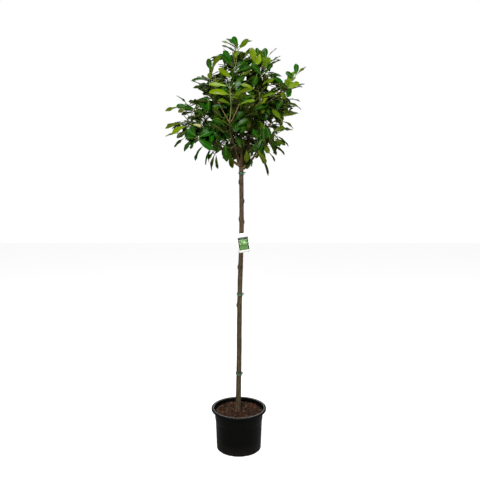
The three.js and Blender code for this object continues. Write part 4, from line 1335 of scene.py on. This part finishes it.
def drained(radius, angle, height):
    """The radius and height of a corner of the pot, set back where it is in a drain recess."""
    if radius < POT["foot_radius"] - POT["bevel"] or height > DRAIN["height"]:
        return radius, height
    spacing = math.tau / DRAIN["count"]
    off = abs((angle + spacing / 2) % spacing - spacing / 2) * radius
    across = 1 - smoothstep(off, DRAIN["full"], DRAIN["edge"])
    upright = 1 - smoothstep(height, DRAIN["fade"] * DRAIN["height"], DRAIN["height"])
    return radius - DRAIN["depth"] * float(across * upright), height


def mould_pot(settings):
    """The pot: a flanged rim turned down at its edge, a collar, a tapering wall and drain recesses."""
    profile = pot_profile()
    points, faces = turned(profile, POT["sides"], drained)
    ends = zip(profile, profile[1:] + profile[:1])
    # The faces on the rim's ridge take a second, grey and glossier material: a painted sheen.
    painted_sheen_ridge = [int(max(near[1], far[1]) == POT_HEIGHT) for near, far in ends]
    pile = Pile()
    pile.add(points, faces, painted_sheen_ridge * POT["sides"])
    materials = [moulded_polypropylene("Polypropylene, moulded black", settings.plastic, settings.dust, 0.08),
                 moulded_polypropylene("Polypropylene, rubbed grey", settings.rim, settings.dust, 0.4)]
    weld(pile.build("pot_shell", materials, "pot_plastic", ["pot"]))


def weld(piece):
    """Merges the corners of a turned piece that meet on the Z axis."""
    mesh = bmesh.new()
    mesh.from_mesh(piece.data)
    bmesh.ops.remove_doubles(mesh, verts=mesh.verts, dist=0.01 * MM)
    bmesh.ops.dissolve_degenerate(mesh, edges=mesh.edges, dist=0.01 * MM)
    mesh.to_mesh(piece.data)
    mesh.free()


# The compost: its gap to the wall, its lift off the floor, how far its top stands over its solid, its heap at
# the stem and its dip at the wall. Its lumps have their repeats in a metre, their layer of noise, and their
# height in millimetres.
COMPOST = {"sides": 128, "rings": 36, "gap": 1 * MM, "lift": 0.5 * MM, "topping": 4 * MM}
HEAP = {"height": 5 * MM, "width": 45 * MM}
DIP = {"depth": 3 * MM, "from": 105 * MM, "to": 140 * MM}
LUMPS = ((45, 2.0, 3), (150, 5.0, 1.6))
# The bark chips: how far they keep off the wall, stand up and lean, and the shares of brown ones and, among
# the others, of rust ones.
CHIP = {"seed": 5, "off_wall": 6 * MM, "up": 1.4 * MM, "lean": 1.3, "brown": 0.5, "rust": 0.7}
# Half a chip's length, width and thickness, in millimetres, and the shares of it that its corners keep, each
# from the least to the most. No chip lies on this share of the area, in the middle.
CHIP_LONG, CHIP_WIDE, CHIP_THICK, CHIP_CORNER = (3, 9), (2, 4.5), (0.8, 1.8), (0.6, 1.1)
CHIP_INMOST = 0.03
BOX_CORNERS = [[x, y, z] for x in (-1, 1) for y in (-1, 1) for z in (-1, 1)]
BOX_FACES = [[0, 1, 3, 2], [4, 6, 7, 5], [0, 4, 5, 1], [2, 3, 7, 6], [0, 2, 6, 4], [1, 5, 7, 3]]


def compost_height(x, y):
    """The crumbly top of the compost: lower at the pot's wall and heaped a little round the stem."""
    out = math.hypot(x, y)
    heap = HEAP["height"] * math.exp(-((out / HEAP["width"]) ** 2))
    dip = DIP["depth"] * float(smoothstep(out, DIP["from"], DIP["to"]))
    lump = sum(noise.noise(Vector((x * often, y * often, layer))) * high * MM for often, layer, high in LUMPS)
    return COMPOST_LEVEL + COMPOST["topping"] + (heap - dip) + lump


def fill_compost(settings):
    """The compost, one closed solid with a crumbly top, and the bark chips that lie on it."""
    sides, rings = COMPOST["sides"], COMPOST["rings"]
    inside = POT["wall"] + COMPOST["gap"]
    radius = POT["neck_radius"] - inside
    wall = [(POT["foot_radius"] - inside, POT["floor"] + COMPOST["lift"]),
            (POT["step_radius"] - inside, POT["step_height"])]
    turns = [math.tau * k / sides for k in range(sides)]
    points = [(out * math.cos(turn), out * math.sin(turn), height) for out, height in wall for turn in turns]
    for row in range(rings):
        out = radius * (1 - row / rings)
        for turn in turns:
            x, y = out * math.cos(turn), out * math.sin(turn)
            points.append((x, y, compost_height(x, y)))
    pile = Pile()
    pile.add(points, ring_faces(rings + len(wall), sides))
    soil = composted_bark("Pine bark compost, moist", settings.soil, 6)
    pile.build("compost_fill", [soil], "compost", ["compost"])
    scatter_chips(radius - CHIP["off_wall"], settings)


def scatter_chips(radius, settings):
    """Flat chips of bark that lie about on the compost, each a block with its corners moved by chance."""
    pile = Pile()
    random = dice(CHIP["seed"])
    for _ in range(settings.chips):
        out = math.sqrt(lerp(CHIP_INMOST, 1.0, random())) * radius
        turn = random() * math.tau
        x, y = out * math.cos(turn), out * math.sin(turn)
        long, wide = lerp(*CHIP_LONG, random() ** 2), lerp(*CHIP_WIDE, random())
        scale = np.array([long, wide, lerp(*CHIP_THICK, random())]) * MM
        corners = np.array(BOX_CORNERS, float)
        corners *= [[lerp(*CHIP_CORNER, random()) for _ in range(3)] for _ in BOX_CORNERS]
        spin = random() * math.pi
        tilt, lean = (random() - 0.5) * CHIP["lean"], (random() - 0.5) * CHIP["lean"]
        rotation = np.array(Euler((tilt, lean, spin)).to_matrix())
        spot = np.array([x, y, compost_height(x, y) + CHIP["up"]])
        slot = 0 if random() < CHIP["brown"] else (1 if random() < CHIP["rust"] else 2)
        pile.add((corners * scale) @ rotation.T + spot, BOX_FACES, slot)
    tones = [composted_bark(f"Pine bark chip, {tone}", getattr(settings, f"chip_{tone}"), 4)
             for tone in ("brown", "rust", "pale")]
    pile.build("bark_chips", tones, "compost", smooth=False)


# Ties and label
TIE_TUBE = 1.9 * MM  # half the thickness of the tying tube
TIE_TURNS = np.linspace(0, 6 * math.pi, 109)  # radians round the trunk, three times
TIE_DROP = 5 * MM  # in each turn
TIE_SWAY = 1.8 * MM  # the turns don't lie quite evenly
KNOT_SHARES = np.linspace(-1, 1, 9)  # along the tie's knot
TIE_ENDS = ((-1, 9 * MM, 1 * MM), (1, 3 * MM, 12 * MM))  # each end's side, and how far out and down


def fasten_ties(settings):
    """Each tie: three slanting turns of soft tube round the trunk, a knot at its side and two short ends."""
    material = soft_vinyl("Vinyl tying tube, extruded", settings.tie)
    heights = 4 * MM - TIE_TURNS / math.tau * TIE_DROP + TIE_SWAY * np.sin(0.9 * TIE_TURNS)
    for name in ("low", "middle", "high"):
        low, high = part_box(f"tie_{name}")
        height = (low.z + high.z) / 2
        centre, radius = trunk_centre(height), trunk_radius(height) + TIE_TUBE + TRUNK["skin"]
        coil = np.column_stack([radius * np.cos(TIE_TURNS), radius * np.sin(TIE_TURNS), heights])
        pile = Pile()
        pile.add(*tube(Path(centre + coil), np.full(len(coil), TIE_TUBE), 8))
        knot = centre + [radius + 2 * MM, 0.0, 2 * MM]
        line = [knot + BACK * share * 3.4 * MM for share in KNOT_SHARES]
        bulge = np.sqrt(1 - (0.97 * KNOT_SHARES) ** 2) * 3.0 * MM
        pile.add(*tube(Path(line), bulge, 12))
        for side, out, down in TIE_ENDS:
            end = bezier(knot, knot + [5 * MM, side * 2 * MM, 1 * MM], knot + [out, side * 4 * MM, -down])
            pile.add(*tube(end, np.full(12, TIE_TUBE * 0.9), 8))
        pile.build(f"tie_{name}_tube", [material], "tie_plastic", [f"tie_{name}"])


LABEL = {"foot": 1200 * MM, "length": 113 * MM, "width": 64 * MM, "thickness": 0.9 * MM, "corner": 5 * MM,
         "tilt": 9, "shift": 20 * MM, "loop": 11 * MM, "bow": 2.4 * MM}
# The printed panel on it, with a band above its field, and the fan of leaves on that, in degrees.
PRINT = {"foot": 14 * MM, "top": 90 * MM, "half_width": 29.5 * MM, "band": 13 * MM, "border": 5 * MM,
         "corner": 1 * MM, "thickness": 0.1 * MM}
INK = 0.12  # millimetres from each printed layer to the next, thicker than life so that they don't flicker
FAN = {"leaves": 9, "first": -70, "step": 17.5, "root": 26 * MM, "width": 6.5 * MM, "short": 24, "long": 31,
       "sides": 16}
LOOP = {"radius": 0.8 * MM, "off": 1.1 * MM, "slant": 2 * MM, "rings": 49, "sides": 8}
CARD_ROWS, CORNER_STEPS = 9, 6


def card_sheet(half_width, foot, top, corner, front, thickness, bow):
    """Corners and faces of a thin card with rounded corners, bowed about its length. It stands in the plane
    of X and Z, and its front is towards -Y."""
    angles = np.linspace(0, math.pi / 2, CORNER_STEPS)
    straight = half_width - corner
    right = [straight + corner * math.sin(a) for a in angles]
    columns = [-x for x in reversed(right)] + [0.0] + right
    rows = CARD_ROWS
    points, faces = [], []
    for back in (0.0, thickness):
        for x in columns:
            past = max(abs(x) - straight, 0.0)
            cut = corner - math.sqrt(max(corner**2 - past**2, 0.0))
            for z in np.linspace(foot + cut, top - cut, rows):
                points.append((x, front + back + bow * (x / half_width) ** 2, z))
    count = len(columns) * rows
    for c in range(len(columns) - 1):
        for r in range(rows - 1):
            a, b = c * rows + r, (c + 1) * rows + r
            faces.append([a, b, b + 1, a + 1])
            faces.append([count + a, count + a + 1, count + b + 1, count + b])
        for r, flip in ((0, True), (rows - 1, False)):
            a, b = c * rows + r, (c + 1) * rows + r
            faces.append([a, count + a, count + b, b] if flip else [a, b, count + b, count + a])
    for c, order in ((0, -1), (len(columns) - 1, 1)):
        for r in range(rows - 1):
            a = c * rows + r
            faces.append([a, count + a, count + a + 1, a + 1][::order])
    return np.array(points), faces


def label_bow(x):
    """How far back the label's card bows at a place across it."""
    return LABEL["bow"] * (x / (LABEL["width"] / 2)) ** 2


def on_label(points, middle):
    """Points of the upright card, tilted and moved to where the label hangs beside the trunk's middle."""
    tilt = math.radians(LABEL["tilt"])
    across, back, up = np.asarray(points).T
    x = across * math.cos(tilt) - up * math.sin(tilt)
    z = up * math.cos(tilt) + across * math.sin(tilt)
    return np.column_stack([x + middle[0] + LABEL["shift"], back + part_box("label")[0].y, z + LABEL["foot"]])


def print_sheet(half_width, top, layer):
    """Corners and faces of one printed area of the label."""
    return card_sheet(half_width, PRINT["foot"], top, PRINT["corner"], -layer * INK * MM, PRINT["thickness"],
                      label_bow(half_width))


def print_leaf(k):
    """Corners of one leaf of the printed fan, its front and then its back."""
    turn = math.radians(FAN["first"] + FAN["step"] * k)
    length = lerp(FAN["short"], FAN["long"], (k * 5 % FAN["leaves"]) / FAN["leaves"]) * MM
    root = np.array([0.0, PRINT["foot"] + FAN["root"]])
    way = np.array([math.sin(turn), math.cos(turn)])
    across = np.array([way[1], -way[0]])
    rim = [root + way * length * (0.5 - 0.5 * math.cos(a)) + across * FAN["width"] * math.sin(a)
           for a in np.linspace(0, math.tau, FAN["sides"], endpoint=False)]
    front = 3 + k % 3
    return [(x, label_bow(x) - layer * INK * MM, z) for layer in (front, front - 1) for x, z in rim]


def hang_label(settings):
    """The label: a bowed card on a loop round the trunk, with a plain printed panel of overlapping leaves."""
    loop_height = LABEL["foot"] + LABEL["length"] - LABEL["loop"]
    middle, radius = trunk_centre(loop_height), trunk_radius(loop_height) + LOOP["off"]
    materials = [coated_card("Card, coated white", settings.card, 0.03),
                 coated_card("Card, printed dark green", settings.print_dark, 0.3),
                 coated_card("Card, printed green", settings.print_green, 0.35),
                 coated_card("Card, printed light green", settings.print_light, 0.25)]
    white, border, field, light = range(len(materials))
    sheets = [(card_sheet(LABEL["width"] / 2, 0.0, LABEL["length"], LABEL["corner"], 0.0, LABEL["thickness"],
                          LABEL["bow"]), white),
              (print_sheet(PRINT["half_width"], PRINT["top"], 1), border),
              (print_sheet(PRINT["half_width"] - PRINT["border"], PRINT["top"] - PRINT["band"], 2), field)]
    for k in range(FAN["leaves"]):
        sheets.append(((print_leaf(k), ring_faces(2, FAN["sides"])), light if k % 2 else field))
    pile = Pile()
    for (points, faces), slot in sheets:
        pile.add(on_label(points, middle), faces, slot)
    loop = [middle + [math.cos(a) * radius, math.sin(a) * radius, math.sin(a) * LOOP["slant"]]
            for a in np.linspace(0, math.tau, LOOP["rings"])]
    pile.add(*tube(Path(loop), np.full(LOOP["rings"], LOOP["radius"]), LOOP["sides"]), slots=white)
    pile.build("label_card", materials, "label_card", ["label"])


# Stage
FLOOR = 18.0  # metres across
WHITE = (1.0, 1.0, 1.0, 1.0)
# The place of each soft square light, and its width. They all point at one place in the crown.
LIGHTS = {"key": ((-0.8, -3.6, 3.8), 1.2), "fill": ((3.0, -2.6, 2.0), 2.4), "back": ((0.0, 3.6, 3.4), 2.4),
          "top": ((0.4, 0.4, 4.8), 1.6)}
LIT = Vector((0.0, 0.0, 1.6))


def lay_floor(settings):
    """A plain pale floor, lit from within like an opal light table, that gives no light to the plant."""
    half = FLOOR / 2
    mesh = bpy.data.meshes.new("floor")
    corners = [(-half, -half, 0), (half, -half, 0), (half, half, 0), (-half, half, 0)]
    mesh.from_pydata(corners, [], [[0, 1, 2, 3]])
    floor = bpy.data.objects.new("floor", mesh)
    floor.location.z = -0.5 * MM
    bpy.context.scene.collection.objects.link(floor)
    material, tree, _ = new_material("Acrylic light table, opal")
    rays = add_node(tree, "ShaderNodeLightPath")
    glow = add_node(tree, "ShaderNodeMapRange", {
        "Value": rays.outputs["Is Camera Ray"], "To Max": settings.table})
    show(tree, {"Base Color": toned(settings.floor), "Roughness": 0.9, "Specular IOR Level": 0.1,
                "Emission Color": WHITE, "Emission Strength": glow.outputs["Result"]})
    mesh.materials.append(material)
    floor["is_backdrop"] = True


def light_surround(settings):
    """A white surround that gives little light of its own."""
    world = bpy.data.worlds.new("Studio surround")
    world.use_nodes = True
    tree = world.node_tree
    tree.nodes.clear()
    rays = add_node(tree, "ShaderNodeLightPath")
    strength = add_node(tree, "ShaderNodeMapRange", {
        "Value": rays.outputs["Is Camera Ray"], "To Min": settings.surround, "To Max": 1.0})
    glow = add_node(tree, "ShaderNodeBackground", {"Color": WHITE, "Strength": strength.outputs["Result"]})
    add_node(tree, "ShaderNodeOutputWorld", {"Surface": glow.outputs["Background"]})
    bpy.context.scene.world = world


def place_lights(settings):
    """The soft lights, which don't show in the picture themselves."""
    for name, (place, width) in LIGHTS.items():
        data = bpy.data.lights.new(f"{name} light", "AREA")
        data.energy, data.size = getattr(settings, name), width
        light = bpy.data.objects.new(f"{name} light", data)
        light.location = place
        light.visible_camera = False
        light.rotation_euler = (LIT - Vector(place)).to_track_quat("-Z", "Y").to_euler()
        bpy.context.scene.collection.objects.link(light)


def place_camera(settings):
    """The camera at the photographed angle."""
    data = bpy.data.cameras.new("camera")
    data.lens, data.sensor_width = settings.lens, SENSOR
    camera = bpy.data.objects.new("camera", data)
    camera.location = settings.eye
    camera.rotation_euler = (math.pi / 2 - settings.pitch, 0.0, 0.0)
    bpy.context.scene.collection.objects.link(camera)
    bpy.context.scene.camera = camera


def set_stage(settings):
    """A plain pale floor, soft studio light, and the camera."""
    bpy.context.scene.view_settings.view_transform = "Standard"
    lay_floor(settings)
    light_surround(settings)
    place_lights(settings)
    place_camera(settings)


# Settings
def setting(kind, name, description, default, **limits):
    """A value that a user may change."""
    return kind(name=name, description=description, default=default, **limits)


def size_setting(name, description, millimetres):
    """A length that a user may change."""
    return setting(FloatProperty, name, description, millimetres * MM, unit="LENGTH", precision=4)


def colour_setting(name, description, hex_colour):
    """A colour that a user may change."""
    return setting(FloatVectorProperty, name, description, linear(hex_colour), subtype="COLOR", size=3,
                   min=0.0, max=1.0)


class LaurelCrown(bpy.types.PropertyGroup):
    """Sizes and colours of the leaves and twigs"""

    seed: setting(IntProperty, "Seed", "Seed of the first mass; each after it takes the next", 78)
    twigs: setting(IntProperty, "Twigs", "Twigs on each stem", 10, min=2)
    finer_twigs: setting(IntProperty, "Finer twigs", "Finer twigs on each twig", 4, min=0)
    leaf_length: size_setting("Leaf length", "Length of a full-grown blade", 106)
    leaf_width: size_setting("Leaf width", "Width of a full-grown blade", 34)
    leaf_thickness: size_setting("Leaf thickness", "Thickness of a blade beside its rib", 1.1)
    leaf_spacing: size_setting("Leaf spacing", "Distance between leaves along a twig", 9)
    fold: setting(FloatProperty, "Fold", "How steeply each half rises from the rib", 0.32)
    # Partly the real darkness of old leaves, partly painted shade for the crown's depth.
    shade: colour_setting("Shade", "Oldest leaves, in the crown's depth", "#202d0a")
    deep: colour_setting("Deep", "Full-grown leaves", "#163806")
    emerald: colour_setting("Emerald", "Full-grown leaves in good light", "#124503")
    olive: colour_setting("Olive", "Leaves of the last season", "#3b4907")
    fresh: colour_setting("Fresh", "Leaves of this season", "#476008")
    young: colour_setting("Young", "The newest leaves", "#576c04")
    turning: colour_setting("Turning", "Leaves about to fall", "#8c8656")
    underside: colour_setting("Underside", "What the lower faces fade to", "#5f7020")
    rib: colour_setting("Rib", "Ribs and stalks", "#56632b")
    woody_shoot: colour_setting("Woody twig", "Bark of the stems in the crown", "#564a2c")
    green_shoot: colour_setting("Green shoot", "Skin of the young shoots", "#6b6e38")
    red_shoot: colour_setting("Reddened shoot", "Skin of the shoots in the sun", "#74603a")
    # A darker skin for the twigs inside the crown: painted shade.
    shaded_twig: colour_setting("Shaded twig", "Skin of the twigs among the leaves", "#43451f")


class LaurelBark(bpy.types.PropertyGroup):
    """Relief and colours of the trunk and boughs"""

    relief: size_setting("Relief", "Depth of the bark's ridges and cracks", 1.3)
    light: colour_setting("Light", "Ridges of the trunk's bark", "#5c4c38")
    dark: colour_setting("Dark", "Cracks of the trunk's bark", "#1d150d")
    young_light: colour_setting("Young light", "Ridges of the boughs' bark", "#6b5439")
    young_dark: colour_setting("Young dark", "Cracks of the boughs' bark", "#2f2015")


class LaurelPot(bpy.types.PropertyGroup):
    """Colours of the pot, the compost and what is fastened to the trunk"""

    chips: setting(IntProperty, "Chips", "Bark chips on the compost", 1050, min=0)
    plastic: colour_setting("Plastic", "The pot", "#050505")
    # A grey for the ridge of the pot's rim: a painted sheen.
    rim: colour_setting("Rim", "Painted sheen on the ridge of the pot's rim", "#454643")
    dust: colour_setting("Dust", "Dry soil on the pot's foot", "#4a443c")
    soil: colour_setting("Soil", "Fine compost", "#120a06")
    chip_brown: colour_setting("Brown chips", "Most of the bark chips", "#29180f")
    chip_rust: colour_setting("Rust chips", "The reddest bark chips", "#462611")
    chip_pale: colour_setting("Pale chips", "The driest bark chips", "#5a4430")
    tie: colour_setting("Tie", "Tying tube", "#3a5f4a")
    card: colour_setting("Card", "The label's card", "#f2f3ec")
    print_dark: colour_setting("Print, dark", "The label's border", "#1d2a22")
    print_green: colour_setting("Print, green", "The label's field", "#587f44")
    print_light: colour_setting("Print, light", "The label's leaves", "#a0c688")


class LaurelStage(bpy.types.PropertyGroup):
    """Camera, lights and floor"""

    lens: setting(FloatProperty, "Lens", "Focal length", LENS, unit="CAMERA")
    eye: setting(FloatVectorProperty, "Eye", "The camera's place", EYE, subtype="TRANSLATION")
    pitch: setting(FloatProperty, "Pitch", "How far the camera looks down", PITCH, subtype="ANGLE")
    surround: setting(FloatProperty, "Surround", "Light that the white surround gives", 0.044)
    table: setting(FloatProperty, "Table", "Glow of the light table", 0.92)
    key: setting(FloatProperty, "Key", "Light from the front and above", 284.0, unit="POWER")
    fill: setting(FloatProperty, "Fill", "Light from the right", 40.0, unit="POWER")
    back: setting(FloatProperty, "Back", "Light from behind", 90.0, unit="POWER")
    top: setting(FloatProperty, "Top", "Light from above", 105.0, unit="POWER")
    floor: colour_setting("Floor", "The light table", "#9c9c9a")


# Operators
class LAUREL_OT_set_stage(bpy.types.Operator):
    """Lay the floor and place the lights and the camera"""

    bl_idname = "laurel.set_stage"
    bl_label = "Set Stage"

    def execute(self, context):
        set_stage(context.scene.laurel_stage)
        return {"FINISHED"}


class LAUREL_OT_mould_pot(bpy.types.Operator):
    """Mould the nursery pot"""

    bl_idname = "laurel.mould_pot"
    bl_label = "Mould Pot"

    def execute(self, context):
        mould_pot(context.scene.laurel_pot)
        return {"FINISHED"}


class LAUREL_OT_fill_compost(bpy.types.Operator):
    """Fill the pot with compost and bark chips"""

    bl_idname = "laurel.fill_compost"
    bl_label = "Fill Compost"

    def execute(self, context):
        fill_compost(context.scene.laurel_pot)
        return {"FINISHED"}


class LAUREL_OT_grow_trunk(bpy.types.Operator):
    """Grow the trunk with its bark, knots and root flare"""

    bl_idname = "laurel.grow_trunk"
    bl_label = "Grow Trunk"

    def execute(self, context):
        grow_trunk(context.scene.laurel_bark)
        return {"FINISHED"}


class LAUREL_OT_grow_boughs(bpy.types.Operator):
    """Grow the boughs from the fork into the crown"""

    bl_idname = "laurel.grow_boughs"
    bl_label = "Grow Boughs"

    def execute(self, context):
        grow_boughs(context.scene.laurel_bark)
        return {"FINISHED"}


class LAUREL_OT_grow_crown(bpy.types.Operator):
    """Grow the twigs and leaves of every mass of foliage"""

    bl_idname = "laurel.grow_crown"
    bl_label = "Grow Crown"

    def execute(self, context):
        grow_crown(context.scene.laurel_crown)
        return {"FINISHED"}


class LAUREL_OT_fasten_ties(bpy.types.Operator):
    """Fasten the green ties round the trunk"""

    bl_idname = "laurel.fasten_ties"
    bl_label = "Fasten Ties"

    def execute(self, context):
        fasten_ties(context.scene.laurel_pot)
        return {"FINISHED"}


class LAUREL_OT_hang_label(bpy.types.Operator):
    """Hang the printed label on the trunk"""

    bl_idname = "laurel.hang_label"
    bl_label = "Hang Label"

    def execute(self, context):
        hang_label(context.scene.laurel_pot)
        return {"FINISHED"}


GROUPS = {"laurel_crown": LaurelCrown, "laurel_bark": LaurelBark, "laurel_pot": LaurelPot,
          "laurel_stage": LaurelStage}
OPERATORS = (LAUREL_OT_set_stage, LAUREL_OT_mould_pot, LAUREL_OT_fill_compost, LAUREL_OT_grow_trunk,
             LAUREL_OT_grow_boughs, LAUREL_OT_grow_crown, LAUREL_OT_fasten_ties, LAUREL_OT_hang_label)


class LAUREL_PT_panel(bpy.types.Panel):
    """The laurel's operators and settings"""

    bl_label = "Potted Cherry Laurel"
    bl_space_type = "VIEW_3D"
    bl_region_type = "UI"
    bl_category = "Laurel"

    def draw(self, context):
        for operator in OPERATORS:
            self.layout.operator(operator.bl_idname)
        for group, kind in GROUPS.items():
            box = self.layout.box()
            for name in kind.__annotations__:
                box.prop(getattr(context.scene, group), name)


def register():
    """Makes the settings, the operators and the panel known to Blender."""
    for group, kind in GROUPS.items():
        bpy.utils.register_class(kind)
        setattr(bpy.types.Scene, group, PointerProperty(type=kind))
    for kind in (*OPERATORS, LAUREL_PT_panel):
        bpy.utils.register_class(kind)


def unregister():
    """Takes them out again."""
    for kind in (LAUREL_PT_panel, *reversed(OPERATORS)):
        bpy.utils.unregister_class(kind)
    for group, kind in GROUPS.items():
        delattr(bpy.types.Scene, group)
        bpy.utils.unregister_class(kind)


def main():
    """Builds the laurel piece by piece."""
    register()
    bpy.ops.laurel.set_stage()
    bpy.ops.laurel.mould_pot()
    bpy.ops.laurel.fill_compost()
    bpy.ops.laurel.grow_trunk()
    bpy.ops.laurel.grow_boughs()
    bpy.ops.laurel.grow_crown()
    bpy.ops.laurel.fasten_ties()
    bpy.ops.laurel.hang_label()
    boxes = {"cad": CAD_BOX, "visual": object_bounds()}
    {name: [list(corner) for corner in box] for name, box in boxes.items()}


if __name__ == "__main__":
    main()
